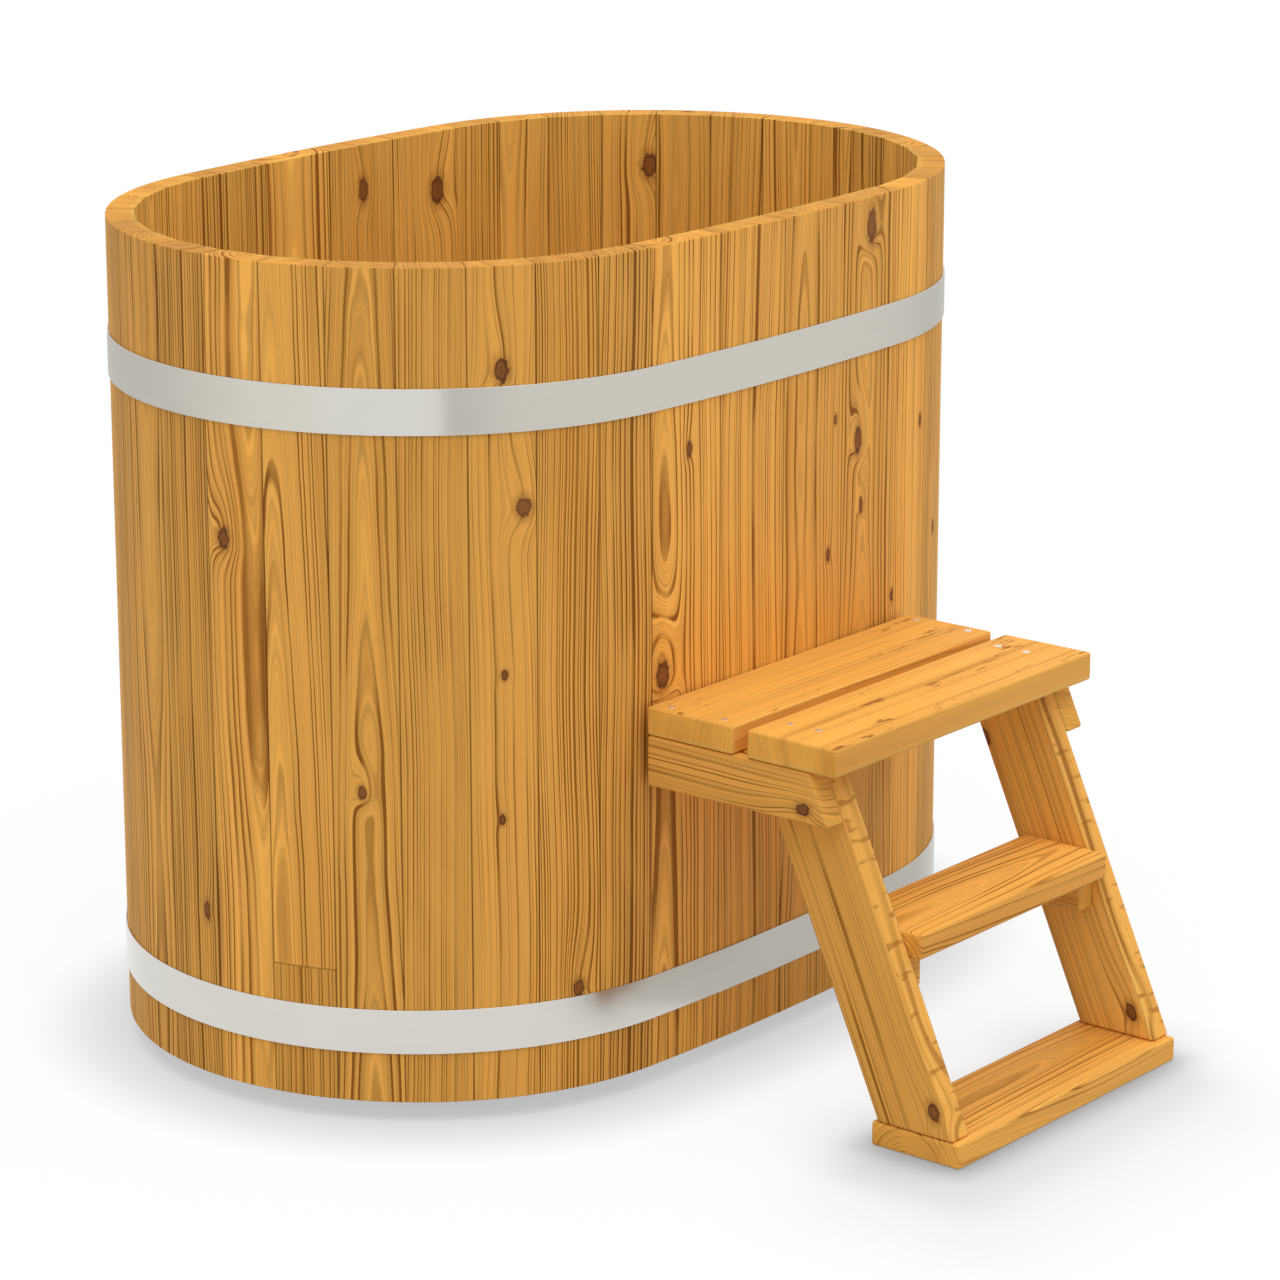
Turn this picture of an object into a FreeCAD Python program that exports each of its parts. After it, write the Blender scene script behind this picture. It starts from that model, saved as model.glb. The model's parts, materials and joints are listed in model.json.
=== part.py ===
import FreeCAD, Part
import math
import os
import re

import Sketcher
from FreeCAD import Vector

# Oval soaking tub of coopered staves with a step unit at its front side.
# The origin is on the ground under the middle of the tub. X runs along the tub, the steps are on -Y, Z is up.

# Driving sizes in millimetres, degrees and plain counts
SIZES = {
    "tub_length": 1200,
    "tub_width": 780,
    "side_radius": 3540,
    "stave_thickness": 36,
    "stave_length": 1014,
    "ground_clearance": 25,
    "end_staves": 14,
    "side_staves": 4,
    "croze_depth": 10,
    "croze_play": 0.3,
    "floor_thickness": 36,
    "floor_board_count": 5,
    "joist_height": 85,
    "joist_width": 45,
    "joist_spacing": 330,
    "joist_end_gap": 46,
    "hoop_width": 55,
    "hoop_thickness": 2,
    "hoop_play": 0.3,
    "upper_hoop_height": 843.6,
    "lower_hoop_height": 87.6,
    "hoop_opening": 30,
    "ear_thickness": 6,
    "ear_height": 28,
    "bolt_diameter": 8,
    "bolt_overhang": 14,
    "bolt_head_height": 5.5,
    "bolt_key_width": 13,
    "bolt_hole_play": 0.5,
    "thread_play": 0.05,
    "nut_height": 6.5,
    "drain_wall_distance": 74,
    "drain_joist_gap": 8.5,
    "drain_bore": 28,
    "drain_tail_wall": 6,
    "drain_tail_overhang": 10,
    "drain_hole_play": 0.5,
    "drain_flange_rim": 15,
    "drain_flange_thickness": 4,
    "gasket_thickness": 2,
    "locknut_rim": 6,
    "locknut_height": 9,
    "pipe_wall": 3,
    "pipe_height": 48,
    "pipe_stub": 16,
    "pipe_hole_play": 1.5,
    "valve_wall": 5.7,
    "valve_end_length": 12,
    "bonnet_wall": 6,
    "bonnet_rise": 11,
    "ball_bore": 24,
    "ball_wall": 5,
    "ball_play": 0.3,
    "stem_diameter": 10,
    "stem_play": 0.05,
    "stem_head_rim": 3,
    "stem_head_height": 3,
    "outlet_diameter": 33.2,
    "outlet_length": 22,
    "lever_length": 90,
    "lever_width": 20,
    "lever_thickness": 4,
    "lever_play": 0.3,
    "platform_gap": 0.3,
    "platform_height": 490,
    "tread_length": 530,
    "tread_depth": 130,
    "tread_thickness": 36,
    "tread_gap": 20,
    "rail_thickness": 34,
    "rail_height": 63,
    "ledger_thickness": 34,
    "stringer_thickness": 35,
    "stringer_width": 100,
    "stringer_lean": 24.2,
    "stringer_setback": 38,
    "foot_thickness": 31,
    "foot_margin": 9,
    "middle_step_height": 262,
    "middle_step_thickness": 32,
    "middle_step_depth": 122,
    "middle_step_nosing": 28,
    "middle_step_end_play": 0.3,
    "cleat_width": 29,
    "cleat_height": 43,
    "cleat_length": 77,
    "cleat_setback": 6,
    "screw_length": 60,
    "screw_diameter": 5,
    "screw_head_diameter": 10,
    "screw_head_height": 4,
    "screw_play": 0.1,
    "screw_margin": 25,
    "screw_pair_spacing": 42,
}

# Sizes that follow from the driving ones
DERIVED = {
    "half_length": "tub_length / 2",
    "half_width": "tub_width / 2",
    # The plan is four arcs that meet tangent: two ends, and two sides of the side radius
    "end_radius": "(2 * side_radius * half_width - half_length ^ 2 - half_width ^ 2)"
                  " / (2 * (side_radius - half_length))",
    "end_centre": "half_length - end_radius",
    "side_centre": "side_radius - half_width",
    "tangent_angle": "atan2(side_centre; end_centre)",
    "end_stave_angle": "2 * tangent_angle / end_staves",
    "side_stave_angle": "2 * (90 deg - tangent_angle) / side_staves",
    "floor_inset": "stave_thickness - croze_depth + croze_play",
    "floor_half_width": "half_width - floor_inset",
    "floor_board_width": "2 * floor_half_width / floor_board_count",
    "floor_top": "joist_height + floor_thickness",
    "end_joist_half_length": "sqrt((end_radius - stave_thickness) ^ 2"
                             " - (joist_spacing + joist_width / 2 - end_centre) ^ 2) - joist_end_gap",
    "middle_joist_half_length": "half_width - stave_thickness - joist_end_gap",
    "ear_foot": "half_width + hoop_play + hoop_thickness / 2",
    "ear_reach": "hoop_opening / 2 + ear_thickness",
    "bolt_line": "half_width + hoop_play + hoop_thickness + ear_height / 2",
    # The middle of the stave next to the middle of a side
    "near_stave": "1 - mod(side_staves + 1; 2) / 2",
    "near_stave_x": "side_radius * sin(near_stave * side_stave_angle)",
    # The drain stands beside the middle joist, clear of it by its locknut's corners
    "drain_tail_diameter": "drain_bore + 2 * drain_tail_wall",
    "locknut_key_width": "drain_tail_diameter + 2 * locknut_rim",
    "drain_x": "joist_width / 2 + drain_joist_gap + locknut_key_width / 2 / cos(30 deg)",
    "drain_y": "half_width - stave_thickness - drain_wall_distance",
    "drain_hole": "drain_tail_diameter + 2 * drain_hole_play",
    "drain_flange_diameter": "drain_tail_diameter + 2 * drain_flange_rim",
    "drain_flange_bottom": "floor_top + gasket_thickness",
    "drain_tail_end": "joist_height - drain_tail_overhang",
    "drain_tail_length": "drain_flange_bottom - drain_tail_end",
    "pipe_diameter": "drain_bore + 2 * pipe_wall",
    "pipe_end": "half_width + pipe_stub",
    "ball_diameter": "ball_bore + 2 * ball_wall",
    "valve_diameter": "ball_diameter + 2 * (ball_play + valve_wall)",
    "valve_length": "ball_diameter + 2 * valve_end_length",
    "valve_centre": "pipe_end + valve_length / 2",
    "valve_outlet": "pipe_end + valve_length",
    "bonnet_diameter": "stem_diameter + 2 * bonnet_wall",
    "bonnet_height": "valve_diameter / 2 + bonnet_rise",
    "bonnet_top": "pipe_height + bonnet_height",
    # The stem starts half way through the ball's wall
    "stem_start": "pipe_height + (ball_diameter + ball_bore) / 4",
    "stem_bore": "stem_diameter + 2 * stem_play",
    "lever_bottom": "bonnet_top + lever_play",
    "lever_top": "lever_bottom + lever_thickness",
    "tread_bottom": "platform_height - tread_thickness",
    "rail_bottom": "tread_bottom - rail_height",
    "half_platform": "tread_length / 2",
    "rail_inner": "half_platform - rail_thickness",
    "rail_middle": "half_platform - rail_thickness / 2",
    "stringer_inner": "rail_inner - stringer_thickness",
    "stringer_middle": "rail_inner - stringer_thickness / 2",
    # Distances from the tub's middle towards the steps
    "platform_rear": "half_width + platform_gap",
    "rear_tread_front": "platform_rear + tread_depth",
    "front_tread_rear": "rear_tread_front + tread_gap",
    "front_tread_front": "front_tread_rear + tread_depth",
    "stringer_front_top": "front_tread_front - stringer_setback",
    "lean_slope": "tan(stringer_lean)",
    "stringer_rise": "tread_bottom - foot_thickness",
    "stringer_run": "lean_slope * stringer_rise",
    "stringer_reach": "stringer_width / cos(stringer_lean)",
    "stringer_front_foot": "stringer_front_top + stringer_run",
    "foot_front": "stringer_front_foot + foot_margin",
    "foot_depth": "stringer_reach + 2 * foot_margin",
    "rail_front": "stringer_front_top + lean_slope * rail_height",
    "middle_step_bottom": "middle_step_height - middle_step_thickness",
    "middle_step_front": "stringer_front_top + lean_slope * (tread_bottom - middle_step_height)"
                         " + middle_step_nosing",
    "cleat_front": "stringer_front_top + lean_slope * (tread_bottom - middle_step_bottom) - cleat_setback",
    "cleat_bottom": "middle_step_bottom - cleat_height",
    # Where the screws of the step unit go
    "tread_screw_y": "(front_tread_rear + stringer_front_top) / 2",
    "rail_screw_z": "rail_bottom + rail_height / 3",
    "rail_screw_y": "stringer_front_top + lean_slope * (tread_bottom - rail_screw_z) - stringer_reach / 2",
    "foot_screw_y": "stringer_front_foot - stringer_reach / 2",
    "cleat_screw_y": "cleat_front - cleat_length / 2",
    "cleat_screw_z": "cleat_bottom + cleat_height / 2",
    "ledger_screw_z": "rail_bottom + rail_height / 2",
}

# Point positions on a sketch's line or arc, and the sketch's own axes and origin
START, END, CENTRE = range(1, 4)
ACROSS_AXIS, UP_AXIS = range(-1, -3, -1)
ORIGIN = (ACROSS_AXIS, START)

# Rotations that point a round piece along each main direction
TOWARDS = {
    "+x": "rotation(vector(0; 1; 0); 90)",
    "-x": "rotation(vector(0; 1; 0); -90)",
    "+y": "rotation(vector(1; 0; 0); -90)",
    "+z": "rotation(vector(0; 0; 1); 0)",
    "-z": "rotation(vector(1; 0; 0); 180)",
}

doc = FreeCAD.newDocument("oval_tub")
nodes = []


# Sheets, formulas and placing

def fill_sheet(name, cells):
    """A sheet with one named cell per row."""
    sheet = doc.addObject("Spreadsheet::Sheet", name)
    for row, (alias, content) in enumerate(cells.items(), start=1):
        sheet.set(f"A{row}", alias)
        sheet.set(f"B{row}", content)
        sheet.setAlias(f"B{row}", alias)
    return sheet


def bound(formula):
    """The formula with each size's name pointing at its cell."""
    def cell(match):
        word = match.group(0)
        if word in SIZES:
            return f"Sizes.{word}"
        if word in DERIVED:
            return f"Derived.{word}"
        return word
    return re.sub(r"[a-z_]+", cell, formula)


def number(formula):
    """The formula's present value as a plain number."""
    value = derived.evalExpression(bound(formula))
    return float(getattr(value, "Value", value))


def place(piece, position, rotation=TOWARDS["+z"]):
    """Bind a piece's placement to formulas for x, y and z."""
    x, y, z = position
    piece.setExpression("Placement", bound(f"placement(vector({x}; {y}; {z}); {rotation})"))
    return piece


def keep(piece, label):
    """Name a finished sub-part and list it for writing."""
    piece.Label = label
    nodes.append(piece)
    return piece


# Solids and booleans

def box(name, size, low_corner):
    """A board from its size along x, y and z and its lowest corner."""
    piece = doc.addObject("Part::Box", name)
    for side, formula in zip(("Length", "Width", "Height"), size):
        piece.setExpression(side, bound(formula))
    return place(piece, low_corner)


def cylinder(name, diameter, length, start, direction="+z"):
    """A round bar that runs from its start in the direction."""
    piece = doc.addObject("Part::Cylinder", name)
    piece.setExpression("Radius", bound(f"({diameter}) / 2"))
    piece.setExpression("Height", bound(length))
    return place(piece, start, TOWARDS[direction])


def cone(name, start_diameter, end_diameter, length, start, direction):
    """A round piece that tapers from its start in the direction."""
    piece = doc.addObject("Part::Cone", name)
    piece.setExpression("Radius1", bound(f"({start_diameter}) / 2"))
    piece.setExpression("Radius2", bound(f"({end_diameter}) / 2"))
    piece.setExpression("Height", bound(length))
    return place(piece, start, TOWARDS[direction])


def hexagon(name, key_width, height, start, direction):
    """A six-sided bar with the key width across its flats."""
    piece = doc.addObject("Part::Prism", name)
    piece.Polygon = 6
    piece.setExpression("Circumradius", bound(f"({key_width}) / 2 / cos(30 deg)"))
    piece.setExpression("Height", bound(height))
    return place(piece, start, TOWARDS[direction])


def ball(name, diameter, centre):
    piece = doc.addObject("Part::Sphere", name)
    piece.setExpression("Radius", bound(f"({diameter}) / 2"))
    return place(piece, centre)


def fuse(name, pieces):
    piece = doc.addObject("Part::MultiFuse", name)
    piece.Shapes = pieces
    return piece


def cut(name, base, tool):
    piece = doc.addObject("Part::Cut", name)
    piece.Base = base
    piece.Tool = tool
    return piece


def group(name, pieces):
    """Separate solids that share one node."""
    piece = doc.addObject("Part::Compound", name)
    piece.Links = pieces
    return piece


# Sketches

def origin_feature(body, role):
    return next(feature for feature in body.Origin.OriginFeatures if feature.Role == role)


def new_sketch(body, name, plane):
    sketch = body.newObject("Sketcher::SketchObject", name)
    sketch.AttachmentSupport = [(origin_feature(body, plane), "")]
    sketch.MapMode = "FlatFace"
    return sketch


def bind(sketch, constraint, formula):
    """Add a sketch dimension whose value follows a formula."""
    index = sketch.addConstraint(constraint)
    sketch.setExpression(f"Constraints[{index}]", bound(formula))


def bind_point(sketch, kind, axis, geometry, formula):
    """Hold a line's start at a formula's distance from the origin, or on the axis where that is 0."""
    if formula == "0":
        sketch.addConstraint(Sketcher.Constraint("PointOnObject", geometry, START, axis))
    else:
        constraint = Sketcher.Constraint(kind, *ORIGIN, geometry, START, number(formula))
        bind(sketch, constraint, formula)


def polygon(sketch, corners):
    """A closed outline of straight lines whose corners follow formulas."""
    points = [Vector(number(across), number(up), 0) for across, up in corners]
    count = len(points)
    for index, point in enumerate(points):
        sketch.addGeometry(Part.LineSegment(point, points[(index + 1) % count]))
    for index, (across, up) in enumerate(corners):
        following = (index + 1) % count
        sketch.addConstraint(Sketcher.Constraint("Coincident", index, END, following, START))
        bind_point(sketch, "DistanceX", UP_AXIS, index, across)
        bind_point(sketch, "DistanceY", ACROSS_AXIS, index, up)


def oval(sketch, inset):
    """The tub's plan, moved inwards by the inset, or outwards where that is negative."""
    first = sketch.GeometryCount
    turn = math.radians(number("tangent_angle"))
    end_radius = number(f"end_radius - ({inset})")
    side_radius = number(f"side_radius - ({inset})")
    end_centre = Vector(number("end_centre"), 0, 0)
    side_centre = Vector(0, number("side_centre"), 0)
    arcs = [
        (end_centre, end_radius, -turn, turn),
        (-side_centre, side_radius, turn, math.pi - turn),
        (-end_centre, end_radius, math.pi - turn, math.pi + turn),
        (side_centre, side_radius, math.pi + turn, 2 * math.pi - turn),
    ]
    for centre, radius, start, stop in arcs:
        circle = Part.Circle(centre, Vector(0, 0, 1), radius)
        sketch.addGeometry(Part.ArcOfCircle(circle, start, stop))
    right, back, left, front = range(first, first + len(arcs))
    for arc, following in ((right, back), (back, left), (left, front), (front, right)):
        sketch.addConstraint(Sketcher.Constraint("Coincident", arc, END, following, START))
    across = f"end_centre + (end_radius - ({inset})) * cos(tangent_angle)"
    up = f"(end_radius - ({inset})) * sin(tangent_angle)"
    bind(sketch, Sketcher.Constraint("DistanceX", *ORIGIN, right, END, number(across)), across)
    bind(sketch, Sketcher.Constraint("DistanceY", *ORIGIN, right, END, number(up)), up)
    for arc, other, axis in ((right, back, UP_AXIS), (back, left, ACROSS_AXIS), (left, front, UP_AXIS)):
        sketch.addConstraint(Sketcher.Constraint("Symmetric", arc, END, other, END, axis))
    bind(sketch, Sketcher.Constraint("Radius", right, end_radius), f"end_radius - ({inset})")
    bind(sketch, Sketcher.Constraint("Radius", back, side_radius), f"side_radius - ({inset})")
    sketch.addConstraint(Sketcher.Constraint("Equal", right, left))
    sketch.addConstraint(Sketcher.Constraint("Equal", back, front))


def pad(body, sketch, length):
    feature = body.newObject("PartDesign::Pad", "Pad")
    feature.Profile = sketch
    feature.setExpression("Length", bound(length))
    return feature


# Staves

def stave(name, radius, angle, centre, turn):
    """One stave: round outer face, flat inner face, radial edges and the croze that holds the floor."""
    body = doc.addObject("PartDesign::Body", name)
    profile = new_sketch(body, "Section", "XY_Plane")
    outer = number(radius)
    inner = number(f"{radius} - stave_thickness")
    half = math.radians(number(angle) / 2)
    corner = Vector(outer * math.cos(half), outer * math.sin(half), 0)
    inner_corner = Vector(inner, inner * math.tan(half), 0)
    mirrored_corner = Vector(corner.x, -corner.y, 0)
    mirrored_inner = Vector(inner, -inner_corner.y, 0)
    arc = profile.addGeometry(Part.ArcOfCircle(Part.Circle(Vector(), Vector(0, 0, 1), outer), -half, half))
    edge = profile.addGeometry(Part.LineSegment(corner, inner_corner))
    face = profile.addGeometry(Part.LineSegment(inner_corner, mirrored_inner))
    far_edge = profile.addGeometry(Part.LineSegment(mirrored_inner, mirrored_corner))
    for line, following in ((arc, edge), (edge, face), (face, far_edge), (far_edge, arc)):
        profile.addConstraint(Sketcher.Constraint("Coincident", line, END, following, START))
    profile.addConstraint(Sketcher.Constraint("Coincident", arc, CENTRE, *ORIGIN))
    for radial in (edge, far_edge):
        profile.addConstraint(Sketcher.Constraint("PointOnObject", *ORIGIN, radial))
    profile.addConstraint(Sketcher.Constraint("Symmetric", face, START, face, END, ACROSS_AXIS))
    bind(profile, Sketcher.Constraint("Radius", arc, outer), radius)
    rise = f"{radius} * sin({angle} / 2)"
    bind(profile, Sketcher.Constraint("DistanceY", *ORIGIN, arc, END, number(rise)), rise)
    depth = f"{radius} - stave_thickness"
    bind(profile, Sketcher.Constraint("DistanceX", *ORIGIN, face, START, number(depth)), depth)
    pad(body, profile, "stave_length")

    groove_section = new_sketch(body, "CrozeSection", "XZ_Plane")
    bottom = "joist_height - ground_clearance - croze_play"
    top = f"{bottom} + floor_thickness + 2 * croze_play"
    near = f"{radius} - 2 * stave_thickness"
    far = f"{radius} - stave_thickness + croze_depth"
    polygon(groove_section, [(near, bottom), (far, bottom), (far, top), (near, top)])
    croze = body.newObject("PartDesign::Groove", "Croze")
    croze.Profile = groove_section
    croze.ReferenceAxis = (origin_feature(body, "Z_Axis"), [""])
    croze.Angle = 360
    body.Tip = croze
    x, y = centre
    return place(body, (x, y, "ground_clearance"), f"rotation(vector(0; 0; 1); {turn})")


def make_staves():
    """Staves round the two ends and the two sides, numbered anticlockwise as seen from above."""
    ends = ("end_radius", "end_stave_angle", "end_staves")
    sides = ("side_radius", "side_stave_angle", "side_staves")
    arcs = [
        ("right_end_stave", ends, ("end_centre", "0"), "0 deg", None),
        ("left_end_stave", ends, ("-end_centre", "0"), "180 deg", None),
        ("front_stave", sides, ("0", "side_centre"), "270 deg", screw_holes),
        ("back_stave", sides, ("0", "-side_centre"), "90 deg", pipe_hole()),
    ]
    for label, (radius, angle, count), centre, middle, holes in arcs:
        total = round(number(count))
        for index in range(1, total + 1):
            offset = index - (total + 1) / 2
            piece = stave("Stave", radius, angle, centre, f"{middle} + {offset} * {angle}")
            if holes:
                piece = cut("DrilledStave", piece, holes)
            keep(piece, f"{label}_{index:02d}")


# Floor and joists

def make_floor():
    """Boards under one oval outline, held in the croze, with the drain's hole near the back."""
    plate = doc.addObject("PartDesign::Body", "FloorPlate")
    outline = new_sketch(plate, "FloorOutline", "XY_Plane")
    oval(outline, "floor_inset")
    pad(plate, outline, "floor_thickness")
    place(plate, ("0", "0", "joist_height"))
    hole = cylinder("DrainHole", "drain_hole", "floor_thickness", ("drain_x", "drain_y", "joist_height"))
    drilled = cut("DrilledPlate", plate, hole)
    boards = []
    for index in range(round(number("floor_board_count"))):
        low = ("-half_length", f"{index} * floor_board_width - floor_half_width", "joist_height")
        strip = box("FloorStrip", ("tub_length", "floor_board_width", "floor_thickness"), low)
        board = doc.addObject("Part::Common", "FloorBoard")
        board.Base = drilled
        board.Tool = strip
        boards.append(board)
    keep(group("FloorBoards", boards), "floor_boards")


def make_joists():
    """Three bearers across the tub that carry the floor on the ground, set in from the staves."""
    joists = []
    for offset, half in (("-joist_spacing", "end_joist_half_length"), ("0", "middle_joist_half_length"),
                         ("joist_spacing", "end_joist_half_length")):
        size = ("joist_width", f"2 * {half}", "joist_height")
        joists.append(box("Joist", size, (f"{offset} - joist_width / 2", f"-{half}", "0")))
    keep(group("FloorJoists", joists), "floor_joists")


# Hoops with their ears, bolts and nuts

def make_hoop(label, height):
    """A steel strap round the staves whose two ends stand out as ears at the middle of the back."""
    strap = doc.addObject("PartDesign::Body", "Strap")
    outline = new_sketch(strap, "StrapOutline", "XY_Plane")
    oval(outline, "-hoop_play")
    oval(outline, "-(hoop_play + hoop_thickness)")
    pad(strap, outline, "hoop_width")
    place(strap, ("0", "0", height))
    ear_size = ("ear_thickness", "hoop_thickness / 2 + ear_height", "hoop_width")
    ears = [box("Ear", ear_size, (side, "ear_foot", height)) for side in ("hoop_opening / 2", "-ear_reach")]
    opening = box("Opening", ("hoop_opening", "stave_thickness", "hoop_width"),
                  ("-hoop_opening / 2", "half_width", height))
    hole = cylinder("BoltHole", "bolt_diameter + 2 * bolt_hole_play", "2 * ear_reach",
                    ("-ear_reach", "bolt_line", f"{height} + hoop_width / 2"), "+x")
    keep(cut("Hoop", fuse("StrapAndEars", [strap] + ears), fuse("HoopCuts", [opening, hole])), label)


def make_hoop_fasteners():
    """One bolt and nut to each hoop, drawn through both ears."""
    bolts = []
    nuts = []
    for height in ("upper_hoop_height", "lower_hoop_height"):
        level = f"{height} + hoop_width / 2"
        head = hexagon("BoltHead", "bolt_key_width", "bolt_head_height",
                       ("-ear_reach - bolt_head_height", "bolt_line", level), "+x")
        shank = cylinder("BoltShank", "bolt_diameter", "2 * ear_reach + bolt_overhang",
                         ("-ear_reach", "bolt_line", level), "+x")
        bolts.append(fuse("Bolt", [head, shank]))
        nut_start = ("ear_reach", "bolt_line", level)
        blank = hexagon("NutBlank", "bolt_key_width", "nut_height", nut_start, "+x")
        thread = cylinder("NutThread", "bolt_diameter + 2 * thread_play", "nut_height", nut_start, "+x")
        nuts.append(cut("Nut", blank, thread))
    keep(group("HoopBolts", bolts), "hoop_bolts")
    keep(group("HoopNuts", nuts), "hoop_nuts")


# Drain and its ball valve

def pipe_hole():
    """The hole that lets the waste pipe out under the floor."""
    return cylinder("PipeHole", "pipe_diameter + 2 * pipe_hole_play", "2 * stave_thickness",
                    ("drain_x", "half_width - 1.5 * stave_thickness", "pipe_height"), "+y")


def make_drain():
    """Floor flange, gasket and locknut, and the elbow that leads out through the back."""
    start = ("drain_x", "drain_y", "drain_flange_bottom")
    foot = ("drain_x", "drain_y", "drain_tail_end")
    plate = cylinder("FlangePlate", "drain_flange_diameter", "drain_flange_thickness", start)
    tail = cylinder("FlangeTail", "drain_tail_diameter", "drain_tail_length", foot)
    bore = cylinder("FlangeBore", "drain_bore", "drain_tail_length + drain_flange_thickness", foot)
    keep(cut("Flange", fuse("FlangeBlank", [plate, tail]), bore), "drain_flange")

    seat = ("drain_x", "drain_y", "floor_top")
    disc = cylinder("GasketDisc", "drain_flange_diameter", "gasket_thickness", seat)
    opening = cylinder("GasketOpening", "drain_hole", "gasket_thickness", seat)
    keep(cut("Gasket", disc, opening), "drain_gasket")

    nut_start = ("drain_x", "drain_y", "joist_height - locknut_height")
    blank = hexagon("LocknutBlank", "locknut_key_width", "locknut_height", nut_start, "+z")
    thread = cylinder("LocknutThread", "drain_tail_diameter + 2 * thread_play", "locknut_height", nut_start)
    keep(cut("Locknut", blank, thread), "drain_locknut")

    outside = elbow("ElbowOutside", "pipe_diameter")
    inside = elbow("ElbowInside", "drain_bore")
    keep(cut("Elbow", outside, inside), "waste_elbow")


def elbow(name, diameter):
    """A round bar down from the drain's tail, round a corner and out past the staves."""
    corner = ("drain_x", "drain_y", "pipe_height")
    riser = cylinder(f"{name}Riser", diameter, "drain_tail_end - pipe_height", corner)
    run = cylinder(f"{name}Run", diameter, "pipe_end - drain_y", corner, "+y")
    return fuse(name, [ball(f"{name}Corner", diameter, corner), riser, run])


def make_valve():
    """A ball valve on the pipe's end: fixed body, and a ball and stem that turn with the lever."""
    centre = ("drain_x", "valve_centre", "pipe_height")
    inlet = ("drain_x", "pipe_end", "pipe_height")
    outlet = ("drain_x", "valve_outlet", "pipe_height")
    barrel = cylinder("ValveBarrel", "valve_diameter", "valve_length", inlet, "+y")
    bonnet = cylinder("ValveBonnet", "bonnet_diameter", "bonnet_height", centre)
    spigot = cylinder("ValveSpigot", "outlet_diameter", "outlet_length", outlet, "+y")
    bore = cylinder("ValveBore", "ball_bore", "valve_length + outlet_length", inlet, "+y")
    chamber = ball("ValveChamber", "ball_diameter + 2 * ball_play", centre)
    stem_hole = cylinder("StemHole", "stem_bore", "bonnet_height", centre)
    casing = fuse("ValveCasing", [barrel, bonnet, spigot])
    keep(cut("ValveBody", casing, fuse("ValveHollow", [bore, chamber, stem_hole])), "valve_body")

    sphere = ball("BallBlank", "ball_diameter", centre)
    port_start = ("drain_x - ball_diameter", "valve_centre", "pipe_height")
    port = cylinder("BallPort", "ball_bore", "2 * ball_diameter", port_start, "+x")
    stem = cylinder("Stem", "stem_diameter", "lever_top - stem_start",
                    ("drain_x", "valve_centre", "stem_start"))
    head = cylinder("StemHead", "stem_diameter + 2 * stem_head_rim", "stem_head_height",
                    ("drain_x", "valve_centre", "lever_top"))
    keep(fuse("BallAndStem", [cut("PortedBall", sphere, port), stem, head]), "valve_ball")

    hub = ("drain_x", "valve_centre", "lever_bottom")
    tip = ("drain_x + lever_length", "valve_centre", "lever_bottom")
    bar = box("LeverBar", ("lever_length", "lever_width", "lever_thickness"),
              ("drain_x", "valve_centre - lever_width / 2", "lever_bottom"))
    ends = [cylinder("LeverEnd", "lever_width", "lever_thickness", end) for end in (hub, tip)]
    eye = cylinder("LeverEye", "stem_bore", "lever_thickness", hub)
    keep(cut("Lever", fuse("LeverBlank", [bar] + ends), eye), "valve_lever")


# Step unit

def upright_board(name, corners, thickness, position):
    """A board that stands in the YZ plane, from its outline and its thickness along X."""
    body = doc.addObject("PartDesign::Body", name)
    outline = new_sketch(body, "Outline", "YZ_Plane")
    polygon(outline, corners)
    pad(body, outline, thickness)
    return place(body, position)


def wood_screw(head_place, direction, play):
    """A countersunk screw with its flat head at the place, driven in the direction and grown by the play."""
    head_width = f"screw_head_diameter + 2 * {play}"
    shank_width = f"screw_diameter + 2 * {play}"
    head = cone("ScrewHead", head_width, shank_width, "screw_head_height", head_place, direction)
    shank = cylinder("ScrewShank", shank_width, f"screw_length + {play}", head_place, direction)
    return fuse("WoodScrew", [head, shank])


def screw_places():
    """Each screw's head and the way it is driven, in formulas. Rails and cleats are screwed from the right."""
    places = []
    for side, rail_screw_face, cleat_screw_face in ((-1, "-stringer_inner", "cleat_width - stringer_inner"),
                                                    (1, "half_platform", "rail_inner")):
        rail = f"{side} * rail_middle"
        stringer = f"{side} * stringer_middle"
        cleat = f"{side} * (stringer_inner - cleat_width / 2)"
        for distance in ("platform_rear + screw_margin", "rear_tread_front - screw_margin"):
            places.append(((rail, f"-({distance})", "platform_height"), "-z"))
        for half in (-0.5, 0.5):
            shift = f"{half} * screw_pair_spacing"
            places.append(((stringer, f"-(tread_screw_y + {shift})", "platform_height"), "-z"))
            places.append(((rail_screw_face, f"-(rail_screw_y + {shift})", "rail_screw_z"), "-x"))
            places.append(((stringer, f"-(foot_screw_y + {shift})", "0"), "+z"))
            places.append(((cleat_screw_face, f"-(cleat_screw_y + {shift})", "cleat_screw_z"), "-x"))
        places.append(((cleat, "-cleat_screw_y", "cleat_bottom"), "+z"))
        ledger_face = "-(platform_rear + ledger_thickness)"
        places.append(((f"{side} * near_stave_x", ledger_face, "ledger_screw_z"), "+y"))
    return places


def screw_group(name, play):
    """All the wood screws, or with some play the holes that they sit in."""
    return group(name, [wood_screw(head_place, direction, play) for head_place, direction in screw_places()])


def keep_screwed(piece, label):
    """Keep a piece with the holes of the screws that pass through it."""
    keep(cut("Drilled", piece, screw_holes), label)


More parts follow.
